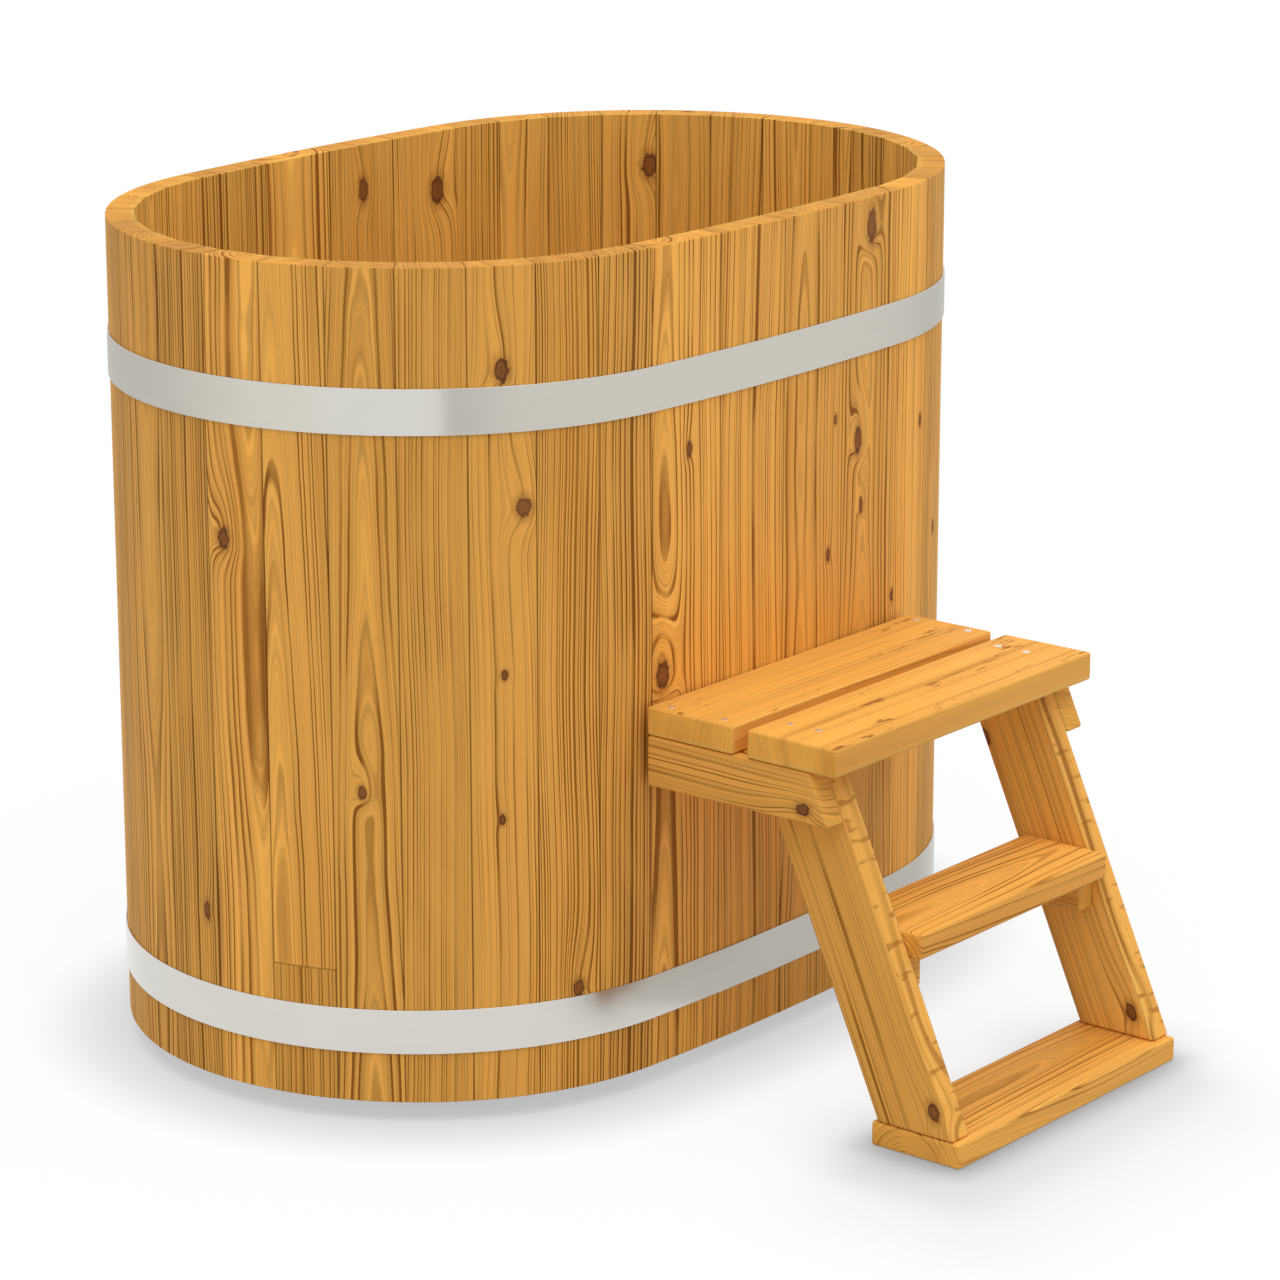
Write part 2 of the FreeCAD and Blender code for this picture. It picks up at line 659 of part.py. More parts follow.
def make_platform():
    """Two treads on a rail at each end, with a ledger under the rear tread that is screwed to the tub."""
    tread = ("tread_length", "tread_depth", "tread_thickness")
    for label, front in (("rear_tread", "rear_tread_front"), ("front_tread", "front_tread_front")):
        keep_screwed(box("Tread", tread, ("-half_platform", f"-{front}", "tread_bottom")), label)
    rail_length = "rail_front - platform_rear"
    rail_outline = [("0", "0"), (rail_length, "0"), (rail_length, "rail_height"),
                    ("lean_slope * rail_height", "rail_height")]
    for label, low in (("left_rail", "-half_platform"), ("right_rail", "rail_inner")):
        rail = upright_board("Rail", rail_outline, "rail_thickness", (low, "-rail_front", "rail_bottom"))
        keep_screwed(rail, label)
    ledger = box("Ledger", ("2 * rail_inner", "ledger_thickness", "rail_height"),
                 ("-rail_inner", "-(platform_rear + ledger_thickness)", "rail_bottom"))
    keep_screwed(ledger, "wall_ledger")


def make_ladder():
    """Two leaning stringers on a foot board, with a step between them on cleats."""
    outline = [("0", "0"), ("stringer_reach", "0"), ("stringer_reach + stringer_run", "stringer_rise"),
               ("stringer_run", "stringer_rise")]
    for label, low in (("left_stringer", "-rail_inner"), ("right_stringer", "stringer_inner")):
        position = (low, "-stringer_front_foot", "foot_thickness")
        keep_screwed(upright_board("Stringer", outline, "stringer_thickness", position), label)
    keep_screwed(box("Foot", ("2 * rail_inner", "foot_depth", "foot_thickness"),
                     ("-rail_inner", "-foot_front", "0")), "foot_board")
    step_half = "stringer_inner - middle_step_end_play"
    keep_screwed(box("MiddleStep", (f"2 * ({step_half})", "middle_step_depth", "middle_step_thickness"),
                     (f"-({step_half})", "-middle_step_front", "middle_step_bottom")), "middle_step")
    cleat = ("cleat_width", "cleat_length", "cleat_height")
    cleats = [box("Cleat", cleat, (low, "-cleat_front", "cleat_bottom"))
              for low in ("-stringer_inner", "stringer_inner - cleat_width")]
    keep_screwed(group("Cleats", cleats), "step_cleats")


def check_and_write():
    """Stop if anything failed to build, then write one file to each node."""
    for item in doc.Objects:
        if "Invalid" in item.State or "Error" in item.State:
            raise RuntimeError(f"{item.Name} {item.Label} failed: {item.State}")
    for node in nodes:
        if node.Shape.isNull() or not node.Shape.isValid() or not node.Shape.Solids:
            raise RuntimeError(f"{node.Label} has no valid solid")
    os.makedirs("parts", exist_ok=True)
    for node in nodes:
        node.Shape.exportStep(f"parts/{node.Label}.step")


sizes = fill_sheet("Sizes", {alias: str(amount) for alias, amount in SIZES.items()})
doc.recompute()
derived = fill_sheet("Derived", {alias: "=" + bound(formula) for alias, formula in DERIVED.items()})
doc.recompute()

screw_holes = screw_group("ScrewHoles", "screw_play")
make_staves()
make_floor()
make_joists()
make_hoop("upper_hoop", "upper_hoop_height")
make_hoop("lower_hoop", "lower_hoop_height")
make_hoop_fasteners()
make_drain()
make_valve()
make_platform()
make_ladder()
keep(screw_group("StepScrews", "0"), "step_screws")
doc.recompute()
check_and_write()
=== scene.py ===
import json
import math
import random
from collections import namedtuple

import bmesh
import bpy
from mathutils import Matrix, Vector


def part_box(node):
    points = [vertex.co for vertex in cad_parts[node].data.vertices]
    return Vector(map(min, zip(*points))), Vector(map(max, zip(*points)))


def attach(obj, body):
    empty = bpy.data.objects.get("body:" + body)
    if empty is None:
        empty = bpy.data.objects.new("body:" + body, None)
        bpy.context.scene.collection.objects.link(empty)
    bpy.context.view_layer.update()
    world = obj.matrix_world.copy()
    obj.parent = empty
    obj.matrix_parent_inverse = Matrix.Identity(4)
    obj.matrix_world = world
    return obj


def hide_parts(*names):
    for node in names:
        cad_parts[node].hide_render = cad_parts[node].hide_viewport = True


# Looks of an oval wooden tub with steps: grained boards, steel hoops, and a brass drain valve at the back.
# All lengths are metres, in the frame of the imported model.

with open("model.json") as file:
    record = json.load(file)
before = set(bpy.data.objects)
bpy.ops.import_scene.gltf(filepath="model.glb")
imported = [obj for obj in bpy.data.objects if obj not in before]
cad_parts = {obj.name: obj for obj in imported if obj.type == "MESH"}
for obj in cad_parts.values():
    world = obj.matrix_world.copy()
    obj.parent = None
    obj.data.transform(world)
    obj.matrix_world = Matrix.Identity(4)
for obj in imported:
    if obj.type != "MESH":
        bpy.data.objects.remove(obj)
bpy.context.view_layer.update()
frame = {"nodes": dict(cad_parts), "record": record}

# Camera, fitted to the photograph
VIEW_AZIMUTH = math.radians(-50.94)
VIEW_ELEVATION = math.radians(15.89)
VIEW_TARGET = Vector((0.0636, -0.1136, 0.4496))
VIEW_DISTANCE = 5.9
SENSOR_WIDTH_MM = 36.0
LENS_MM = 129.58

# Light
WHITE = (1, 1, 1, 1)
SKY_STRENGTH = 0.62
SUN_STRENGTH = 1.95
SUN_AZIMUTH = math.radians(-20)
SUN_ELEVATION = math.radians(79)
SUN_SPREAD = math.radians(70)

# Floor: its colours as seen and as thrown back, and the soft shadow close to the object
FLOOR_SIZE = 60.0
FLOOR_COLOUR = (0.84, 0.86, 0.875, 1)
FLOOR_BOUNCE_COLOUR = (0.55, 0.55, 0.55, 1)
FLOOR_GLOW_SHARE = 0.88
SHADOW_REACH = 0.14
DARKEST_SHADOW = 0.55

# Soft shadow in front of the foot board: its heading, and each layer's shift, softness and depth
SHADOW_HEADING = math.radians(-51)
FOOT_SHADOWS = ((0.0, 0.030, 0.22), (0.08, 0.06, 0.13), (0.18, 0.11, 0.08))

# Cards on the floor: centre, inner and outer reach, and grey levels at angles round the centre, in degrees
FAR_CARD = dict(centre=(0.0, 0.0), reach=(1.6, 9.0),
                levels=((226, 0.71), (250, 0.86), (318, 0.87), (356, 0.69), (399, 0.60), (440, 0.66),
                        (487, 0.78), (520, 0.94), (545, 1.0)))
NEAR_CARD = dict(centre=(0.16, -0.39), reach=(0.05, 1.15), levels=((222, 0.66), (360, 0.66), (440, 1.0)))
CARD_STEPS = 80
CARD_HEIGHT = 0.002
CARD_TINT = (1.0, 0.988, 0.946, 1)


# Shader formulas

NOISE_MIDDLE = 0.5


def operator(name, swapped=False):
    """A method that puts a field and another value through one operation."""
    def method(field, other):
        values = (other, field) if swapped else (field, other)
        return field.graph.math(name, *values)
    return method


class Field:
    """A shader value that can stand in sums, differences, products and quotients."""

    def __init__(self, graph, socket):
        self.graph = graph
        self.socket = socket

    __add__ = operator("ADD")
    __radd__ = operator("ADD", swapped=True)
    __sub__ = operator("SUBTRACT")
    __rsub__ = operator("SUBTRACT", swapped=True)
    __mul__ = operator("MULTIPLY")
    __truediv__ = operator("DIVIDE")

    def split(self):
        """The three parts of a vector or colour."""
        node = self.graph.node("ShaderNodeSeparateXYZ", Vector=self)
        return tuple(Field(self.graph, output) for output in node.outputs)


class Graph:
    """Makes and links the nodes of one material."""

    def __init__(self, tree):
        self.tree = tree

    def feed(self, socket, value):
        """Link a socket to a field, or set it to a plain value."""
        if isinstance(value, Field):
            self.tree.links.new(value.socket, socket)
        else:
            socket.default_value = value

    def node(self, kind, settings=None, **inputs):
        """A new node with the given settings and inputs."""
        made = self.tree.nodes.new(kind)
        for name, value in (settings or {}).items():
            setattr(made, name, value)
        for name, value in inputs.items():
            self.feed(made.inputs[name], value)
        return made

    def math(self, operation, *values):
        made = self.node("ShaderNodeMath", {"operation": operation})
        for socket, value in zip(made.inputs, values):
            self.feed(socket, value)
        return Field(self, made.outputs[0])

    def attribute(self, name, output="Vector"):
        """A value that the mesh holds."""
        made = self.node("ShaderNodeAttribute", {"attribute_name": name})
        return Field(self, made.outputs[output])

    def place(self):
        """The place on an object, in three parts."""
        made = self.node("ShaderNodeTexCoord")
        return Field(self, made.outputs["Object"]).split()

    def vector(self, x, y, z):
        made = self.node("ShaderNodeCombineXYZ", X=x, Y=y, Z=z)
        return Field(self, made.outputs[0])

    def noise(self, place, detail=2.0, roughness=0.5, output="Fac"):
        """Smooth noise about a half, at a vector place or along one number."""
        along_one = not isinstance(place, tuple)
        made = self.node("ShaderNodeTexNoise", {"noise_dimensions": "1D" if along_one else "3D"},
                         Scale=1.0, Detail=detail, Roughness=roughness)
        if along_one:
            self.feed(made.inputs["W"], place)
        else:
            self.feed(made.inputs["Vector"], self.vector(*place))
        return Field(self, made.outputs[output])

    def waves(self, place, seed, waves):
        """Smooth noise over a board, shifted along it by the board's seed."""
        across, through, along = place
        scaled = (across * waves.across, through * waves.through, along * waves.along + seed * waves.shift)
        return self.noise(scaled, waves.detail, waves.roughness)

    def line_waves(self, distance, seed, waves, output="Fac"):
        """Smooth noise along one distance, shifted by the board's seed."""
        return self.noise(distance * waves.along + seed * waves.shift, waves.detail, output=output)

    def chance(self, number):
        """A steady random value for each whole number."""
        made = self.node("ShaderNodeTexWhiteNoise", {"noise_dimensions": "1D"}, W=number)
        return Field(self, made.outputs["Value"])

    def curve(self, value, stops):
        """A ramp through (position, level) stops."""
        made = self.node("ShaderNodeValToRGB", Fac=value)
        elements = made.color_ramp.elements
        while len(elements) < len(stops):
            elements.new(1.0)
        for element, (position, level) in zip(elements, stops):
            element.position = position
            element.color = (level, level, level, 1)
        return Field(self, made.outputs["Color"])

    def step(self, value, low, high, start=0.0, end=1.0):
        """A smooth change from a start to an end level as the value goes from low to high."""
        inputs = {"Value": value, "From Min": low, "From Max": high, "To Min": start, "To Max": end}
        made = self.node("ShaderNodeMapRange", {"interpolation_type": "SMOOTHSTEP"}, **inputs)
        return Field(self, made.outputs["Result"])

    def mix(self, share, first, second, blend="MIX"):
        """A share of a second colour put over a first, or blended with it."""
        made = self.node("ShaderNodeMix", {"data_type": "RGBA", "blend_type": blend})
        sockets = {socket.identifier: socket for socket in made.inputs}
        for name, value in (("Factor_Float", share), ("A_Color", first), ("B_Color", second)):
            self.feed(sockets[name], value)
        result = next(socket for socket in made.outputs if socket.identifier == "Result_Color")
        return Field(self, result)

    def shaded(self, colour, shade):
        """A colour made darker or brighter by a factor."""
        return self.mix(1.0, colour, self.vector(shade, shade, shade), "MULTIPLY")

    def bump(self, height, strength, distance):
        made = self.node("ShaderNodeBump", Strength=strength, Distance=distance, Height=height)
        return Field(self, made.outputs["Normal"])


def placed(name, data):
    """A new object that stands in the scene."""
    made = bpy.data.objects.new(name, data)
    bpy.context.scene.collection.objects.link(made)
    return made


def new_material(name, **inputs):
    """A material with its main shader, whose sockets take the given values."""
    material = bpy.data.materials.new(name)
    material.use_nodes = True
    shader = material.node_tree.nodes["Principled BSDF"]
    graph = Graph(material.node_tree)
    for socket, value in inputs.items():
        graph.feed(shader.inputs[socket.replace("_", " ")], value)
    return material, graph, shader


# Wood

EARLY_WOOD = (0.88, 0.435, 0.084, 1)
LATE_WOOD = (0.29, 0.10, 0.012, 1)
HEART_WOOD = (0.60, 0.24, 0.032, 1)
KNOT_RIM = (0.36, 0.13, 0.025, 1)
KNOT_DARK = (0.060, 0.020, 0.008, 1)
KNOT_PALE = (0.27, 0.092, 0.024, 1)
RESIN = (0.26, 0.085, 0.012, 1)

# What a board's mesh holds for its wood
KNOT_SLOTS = ("knot_a", "knot_b", "knot_c", "knot_d")
FACE_MARKS = ("end_face", "groove", "sawn_edge", "resin")

# Noise over a board: waves to a metre each way, the seed's shift, the octaves and their roughness
Waves = namedtuple("Waves", "across through along shift detail roughness", defaults=(0.5,))
RIPPLE = Waves(18, 18, 2.2, 17, 2.0)
SHIVER = Waves(45, 45, 13, 3, 1.0)
FADE = Waves(28, 28, 4.5, 13, 1.0)
FIBRE = Waves(900, 900, 12, 7, 2.0, 0.6)
STREAK = Waves(60, 60, 1.1, 11, 3.0)
STAIN = Waves(11, 11, 0.9, 5, 2.0)
FLECK = Waves(150, 40, 26, 19, 3.0, 0.6)
BELT = Waves(26, 5, 5, 23, 1.0)
SAW_CUT = Waves(22, 22, 85, 31, 2.0)
RAGGED_KNOT = Waves(160, 60, 110, 0, 2.0)

# Noise along one distance
LineWaves = namedtuple("LineWaves", "along shift detail")
WANDER = LineWaves(1.7, 41, 1.0)
DRIFT = LineWaves(70, 29, 1.0)
PIN = LineWaves(1300, 53, 2.0)

# Rings: how far they wander and ripple, uneven years, and a year's darkness from spring on
WANDER_ACROSS = 0.016
WANDER_DEPTH = 0.010
RIPPLE_HEIGHT = 0.0045
SHIVER_HEIGHT = 0.0012
DRIFT_YEARS = 2.6
SEASONS = ((0.0, 0.35), (0.06, 0.0), (0.45, 0.06), (0.72, 0.30), (0.84, 1.0), (1.0, 0.9))
FAINTEST_YEAR = 0.35
END_GRAIN_FADE = 0.4
STRENGTH_DRAW = 997
BAND_DRAW = 499

# Ranges over which a mark sets in, some with the levels at both ends
FLAT_RINGS = (0.05, 0.45, 0.34, 1.0)
LINE_FADE = (0.32, 0.62, 0.45, 1.2)
STAINED = (0.46, 0.72)
FLECKED = (0.57, 0.63)
BELTED = (0.52, 0.60)
SAWN = (0.58, 0.66)
# Depths where the painted tint against the orange bounce light on inner faces sets in
INNER_DEPTHS = (-0.010, -0.014)

# Brightness of a plain board, and what each kind of mark adds to it
PLAIN_SHADE = 0.68
FIBRE_SHADE = 0.26
STREAK_SHADE = 0.26
BAND_SHADE = 0.10
PIN_SHADE = 0.5

# Share of each mark's own colour
STAIN_SHARE = 0.45
RESIN_SHARE = 0.8
SAW_SHARE = 0.55
GROOVE_SHARE = 0.45

# A piece let in at a board's lower end: its edge line, and how its grain and shade differ
PATCH_LINE = (0.0014, 0.0006)
PATCH_LINE_SHARE = 0.4
PATCH_SOFTNESS = 0.0004
PATCH_SHIFT = 0.35
PATCH_SHADE = 0.12

# Knots: core, halo and heart in radii, the rings inside, and the grain's swell round one
NO_KNOT_DISTANCE = 9.0
RAGGEDNESS = 0.9
KNOT_CORE = (1.05, 0.85)
KNOT_HALO = (1.9, 0.9)
KNOT_HEART = (0.95, 0.45)
CORE_SHARE = 0.92
HALO_SHARE = 0.5
HEART_PALENESS = 0.75
KNOT_RINGS = 17
KNOT_RING_DEPTH = 0.22
KNOT_DRAW = 977
KNOT_VARIETY = 0.4
KNOT_GLOOM = 0.1
SWELL_TAPER = (-2.5, 2.5, 0.45, 0.18)
SWELL_NARROWNESS = 0.38
SWELL_STRENGTH = 2.6
SMALLEST_SWELL = 0.003

# Gloss and relief: fibres stand up, and lines, saw marks, knots and resin lie low
WOOD_SPECULAR = 0.1
WOOD_ROUGHNESS = 0.52
GRAIN_ROUGHNESS = 0.10
RIDGE = 0.5
PIT = 0.4
RELIEF = (0.25, 0.0006)


def log_reach(graph, place, seed):
    """The distance from the log's heart, which wanders, and a fade for rings that lie flat in the face."""
    across, depth, along = place
    pith_across, pith_depth, taper = graph.attribute("pith").split()
    wander_across, wander_depth, _ = graph.line_waves(along, seed, WANDER, "Color").split()
    off_across = across - pith_across + (wander_across - NOISE_MIDDLE) * WANDER_ACROSS
    off_depth = depth - pith_depth + (wander_depth - NOISE_MIDDLE) * WANDER_DEPTH
    heart_distance = graph.math("SQRT", off_across * off_across + off_depth * off_depth)
    ripple = (graph.waves(place, seed, RIPPLE) - NOISE_MIDDLE) * RIPPLE_HEIGHT
    shiver = (graph.waves(place, seed, SHIVER) - NOISE_MIDDLE) * SHIVER_HEIGHT
    flat = graph.step(graph.math("ABSOLUTE", off_across) / heart_distance, *FLAT_RINGS)
    return heart_distance + taper * along + ripple + shiver, flat


def bend_round_knots(graph, place, seed, reach):
    """The rings pushed aside by knots, with the nearest knot's distance in radii and its paleness."""
    across, _, along = place
    ragged = (graph.waves(place, seed, RAGGED_KNOT) - NOISE_MIDDLE) * RAGGEDNESS
    nearest = NO_KNOT_DISTANCE
    paleness = 0.0
    for slot in KNOT_SLOTS:
        knot_across, knot_along, size = graph.attribute(slot).split()
        stretch = graph.attribute(slot, "Alpha")
        beside = (across - knot_across) / size
        ahead = (along - knot_along) / size
        lengthwise = ahead / stretch
        distance = graph.math("SQRT", beside * beside + lengthwise * lengthwise) + ragged
        drawn_out = ahead * graph.step(ahead, *SWELL_TAPER)
        square = beside * beside * SWELL_NARROWNESS + drawn_out * drawn_out
        swell = graph.math("EXPONENT", square * -0.5)
        reach = reach + swell * graph.math("MAXIMUM", size - SMALLEST_SWELL, 0.0) * SWELL_STRENGTH
        nearer = graph.math("LESS_THAN", distance, nearest)
        own_paleness = graph.chance(graph.math("FLOOR", knot_along * KNOT_DRAW))
        paleness = (1 - nearer) * paleness + nearer * own_paleness
        nearest = graph.math("MINIMUM", distance, nearest)
    return reach, nearest, paleness


def year_lines(graph, place, seed, reach, spacing):
    """Each year's dark line, which fades in and out, and a steady random value for the year's band."""
    drift = (graph.line_waves(reach, seed, DRIFT) - NOISE_MIDDLE) * DRIFT_YEARS
    years = reach / spacing + drift
    year = graph.math("FLOOR", years)
    season = graph.math("FRACT", years)
    strength = graph.chance(year + graph.math("FLOOR", seed * STRENGTH_DRAW))
    band = graph.chance(year + graph.math("FLOOR", seed * BAND_DRAW))
    fade = graph.step(graph.waves(place, seed, FADE), *LINE_FADE)
    line = graph.curve(season, SEASONS) * (strength * (1 - FAINTEST_YEAR) + FAINTEST_YEAR) * fade
    return line, band


def knot_colour(graph, colour, distance, paleness, end_face):
    """The colour with its knots put in, and where their cores are."""
    core = graph.step(distance, *KNOT_CORE) * (1 - end_face)
    halo = graph.step(distance, *KNOT_HALO) * (1 - end_face)
    rings = graph.math("SINE", distance * KNOT_RINGS) * KNOT_RING_DEPTH
    heart = graph.step(distance, *KNOT_HEART) * HEART_PALENESS
    pale = heart + rings + paleness * KNOT_VARIETY - KNOT_GLOOM
    colour = graph.mix(halo * HALO_SHARE, colour, KNOT_RIM)
    colour = graph.mix(core * CORE_SHARE, colour, graph.mix(pale, KNOT_DARK, KNOT_PALE))
    return colour, core


def surface_marks(graph, place, seed, resin, sawn_edge):
    """Where resin flecks lie in belts, and where the saw has marked a narrow edge."""
    across, depth, along = place
    belt = graph.step(graph.waves(place, seed, BELT), *BELTED)
    resin_spot = graph.step(graph.waves(place, seed, FLECK), *FLECKED) * belt * resin
    saw_mark = graph.step(graph.waves((depth, across, along), seed, SAW_CUT), *SAWN) * sawn_edge
    return resin_spot, saw_mark


def wood_material(name, end_tint, inner_tint):
    """Softwood sawn from a log: the same rings show as lines, cathedrals or end grain on every face."""
    material, graph, shader = new_material(name, Specular_IOR_Level=WOOD_SPECULAR)
    across, depth, along = graph.attribute("grain").split()
    tone, spacing, contrast = graph.attribute("look").split()
    seed = graph.attribute("seed", "Fac")
    patch = graph.attribute("patch", "Fac")
    end_face, groove, sawn_edge, resin = [graph.attribute(mark, "Fac") for mark in FACE_MARKS]

    # Below a patch's upper edge the board is let in from another log
    patch_line = graph.step(graph.math("ABSOLUTE", along - patch), *PATCH_LINE)
    let_in = graph.step(along, patch + PATCH_SOFTNESS, patch - PATCH_SOFTNESS)
    place = (across + let_in * PATCH_SHIFT, depth, along)

    reach, flat = log_reach(graph, place, seed)
    reach, knot_distance, knot_paleness = bend_round_knots(graph, place, seed, reach)
    line, band = year_lines(graph, place, seed, reach, spacing)
    line = line * contrast * flat * (1 - end_face * END_GRAIN_FADE)

    # Finer lines, fibres and streaks
    pin = (graph.line_waves(reach, seed, PIN) - NOISE_MIDDLE) * contrast
    fibre = graph.waves(place, seed, FIBRE)
    streak = graph.waves(place, seed, STREAK)
    marks = fibre * FIBRE_SHADE + streak * STREAK_SHADE + band * BAND_SHADE + pin * PIN_SHADE
    shade = tone * (1 - let_in * PATCH_SHADE) * (PLAIN_SHADE + marks)
    stain = graph.step(graph.waves(place, seed, STAIN), *STAINED)

    colour = graph.mix(line, EARLY_WOOD, LATE_WOOD)
    colour = graph.shaded(graph.mix(stain * STAIN_SHARE, colour, HEART_WOOD), shade)
    colour = graph.mix(end_face, colour, end_tint, "MULTIPLY")
    # Painted light: inner faces are tinted bluer and brighter against the orange bounce light they catch
    colour = graph.mix(graph.step(depth, *INNER_DEPTHS), colour, inner_tint, "MULTIPLY")
    colour, core = knot_colour(graph, colour, knot_distance, knot_paleness, end_face)
    resin_spot, saw_mark = surface_marks(graph, place, seed, resin, sawn_edge)
    colour = graph.mix(resin_spot * RESIN_SHARE, colour, RESIN)
    colour = graph.mix(saw_mark * SAW_SHARE, colour, LATE_WOOD)
    colour = graph.mix(groove * GROOVE_SHARE + patch_line * PATCH_LINE_SHARE, colour, KNOT_DARK)

    graph.feed(shader.inputs["Base Color"], colour)
    graph.feed(shader.inputs["Roughness"], WOOD_ROUGHNESS + (line + fibre) * GRAIN_ROUGHNESS)
    relief = (fibre - line - saw_mark) * RIDGE - (core + resin_spot) * PIT
    graph.feed(shader.inputs["Normal"], graph.bump(relief, *RELIEF))
    return material


# Meshes of boards and other pieces

MERGE_DISTANCE = 1e-6
FLAT_ANGLE = math.radians(0.3)
SHARP_ANGLE = math.radians(25)
SMOOTH_ANGLE = math.radians(40)
SHORTEST_EDGE = 0.012
EDGE_SEGMENTS = 2
EDGE_PROFILE = 0.5
SORT_DIGITS = 4
AREA_DIGITS = 9

# Limits: the rise of a level board, the lean of a side along its board, and the rise of a flat face
LEVEL_SHARE = 0.1
SIDE_SHARE = 0.1
FLAT_SHARE = 0.5

# Least share of a face's normal along, across or through its board, for the face's marks
FACING = 0.8
GROOVE_FACING = 0.3


def longest_edge(edges):
    edge = max(edges, key=lambda item: item.calc_length())
    return (edge.verts[1].co - edge.verts[0].co).normalized()


def loose_parts(mesh):
    """The separate solids of a mesh, as sets of vertices."""
    waiting = set(mesh.verts)
    parts = []
    while waiting:
        part = {waiting.pop()}
        front = list(part)
        while front:
            for edge in front.pop().link_edges:
                for vertex in edge.verts:
                    if vertex in waiting:
                        waiting.remove(vertex)
                        part.add(vertex)
                        front.append(vertex)
        parts.append(part)
    return parts


def extent(vertices, axis):
    """The lowest and highest place of the vertices along an axis."""
    places = [vertex.co[axis] for vertex in vertices]
    return min(places), max(places)


def middle(vertices):
    """The middle of the vertices' box."""
    low, high = [Vector(corner) for corner in zip(*(extent(vertices, axis) for axis in range(3)))]
    return (low + high) / 2


def board_axes(vertices):
    """A board's middle, and its directions across, through and along the grain."""
    edges = {edge for vertex in vertices for edge in vertex.link_edges}
    faces = {face for vertex in vertices for face in vertex.link_faces}
    along = longest_edge(edges)
    if along.z < -LEVEL_SHARE or (abs(along.z) <= LEVEL_SHARE and along.x + along.y < 0):
        along.negate()
    sides = [face for face in faces if abs(face.normal.dot(along)) < SIDE_SHARE]
    # Between faces of one area the normals decide, so every run takes the same face
    through = max(sides, key=lambda face: (round(face.calc_area(), AREA_DIGITS), *face.normal)).normal.copy()
    centre = middle(vertices)
    inwards = through.x * centre.x + through.y * centre.y < 0
    if through.z < -FLAT_SHARE or (abs(through.z) <= FLAT_SHARE and inwards):
        through.negate()
    through = (through - along * through.dot(along)).normalized()
    return centre, along.cross(through), through, along


def clean_copy(node):
    """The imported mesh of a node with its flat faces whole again."""
    mesh = bmesh.new()
    mesh.from_mesh(frame["nodes"][node].data)
    bmesh.ops.remove_doubles(mesh, verts=mesh.verts, dist=MERGE_DISTANCE)
    bmesh.ops.dissolve_limit(mesh, angle_limit=FLAT_ANGLE, verts=mesh.verts, edges=mesh.edges)
    return mesh


def soften_edges(mesh, width, shortest):
    """Round the sharp edges that are longer than the shortest, and give back the new faces."""
    sharp = [edge for edge in mesh.edges if len(edge.link_faces) == 2
             and edge.calc_face_angle() > SHARP_ANGLE and edge.calc_length() > shortest]
    made = bmesh.ops.bevel(mesh, geom=sharp, offset=width, segments=EDGE_SEGMENTS, profile=EDGE_PROFILE,
                           affect="EDGES", clamp_overlap=True)
    return made["faces"]


def finish_piece(mesh, name, material, body, slot, *nodes):
    """Turn a bmesh into a shown piece that stands for the nodes."""
    data = bpy.data.meshes.new(name)
    mesh.normal_update()
    for face in mesh.faces:
        face.smooth = True
    mesh.to_mesh(data)
    mesh.free()
    data.set_sharp_from_angle(angle=SMOOTH_ANGLE)
    data.materials.append(material)
    piece = placed(name, data)
    weighted = piece.modifiers.new("Weighted normals", "WEIGHTED_NORMAL")
    weighted.keep_sharp = True
    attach(piece, body)
    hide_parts(*nodes)


# Figures of the boards

# Knots and patches that a board doesn't have are put far away
FAR_KNOT = (0.0, 9.0, 0.001, 1.0)
NO_PATCH = -9.0

# Ranges of a drawn figure: for boards near the log's heart, for boards far from it, and for all
NEAR_HEART_CHANCE = 0.35
NEAR_HEART_SHARES = (-0.35, 0.35)
NEAR_HEART_DEPTHS = (0.020, 0.040)
STEEP_RISES = (0.010, 0.018)
FAR_HEART_OFFSETS = (0.09, 0.25)
FAR_HEART_DEPTHS = (0.02, 0.06)
GENTLE_RISES = (0.002, 0.006)
TONES = (0.88, 1.10)
SPACINGS = (0.0044, 0.0070)
CONTRASTS = (0.8, 1.6)
KNOT_CHANCE = 0.3
KNOT_SHARES = (-0.3, 0.3)
KNOT_PLACES = (-0.3, 0.3)
KNOT_SIZES = (0.005, 0.010)
KNOT_STRETCHES = (1.2, 2.2)


def log_figure(heart, rise, tone, spacing, contrast):
    """What a board shows of its log: the heart's place, the rings' rise, tone, ring spacing and contrast."""
    return dict(heart=heart, rise=rise, tone=tone, spacing=spacing, contrast=contrast)


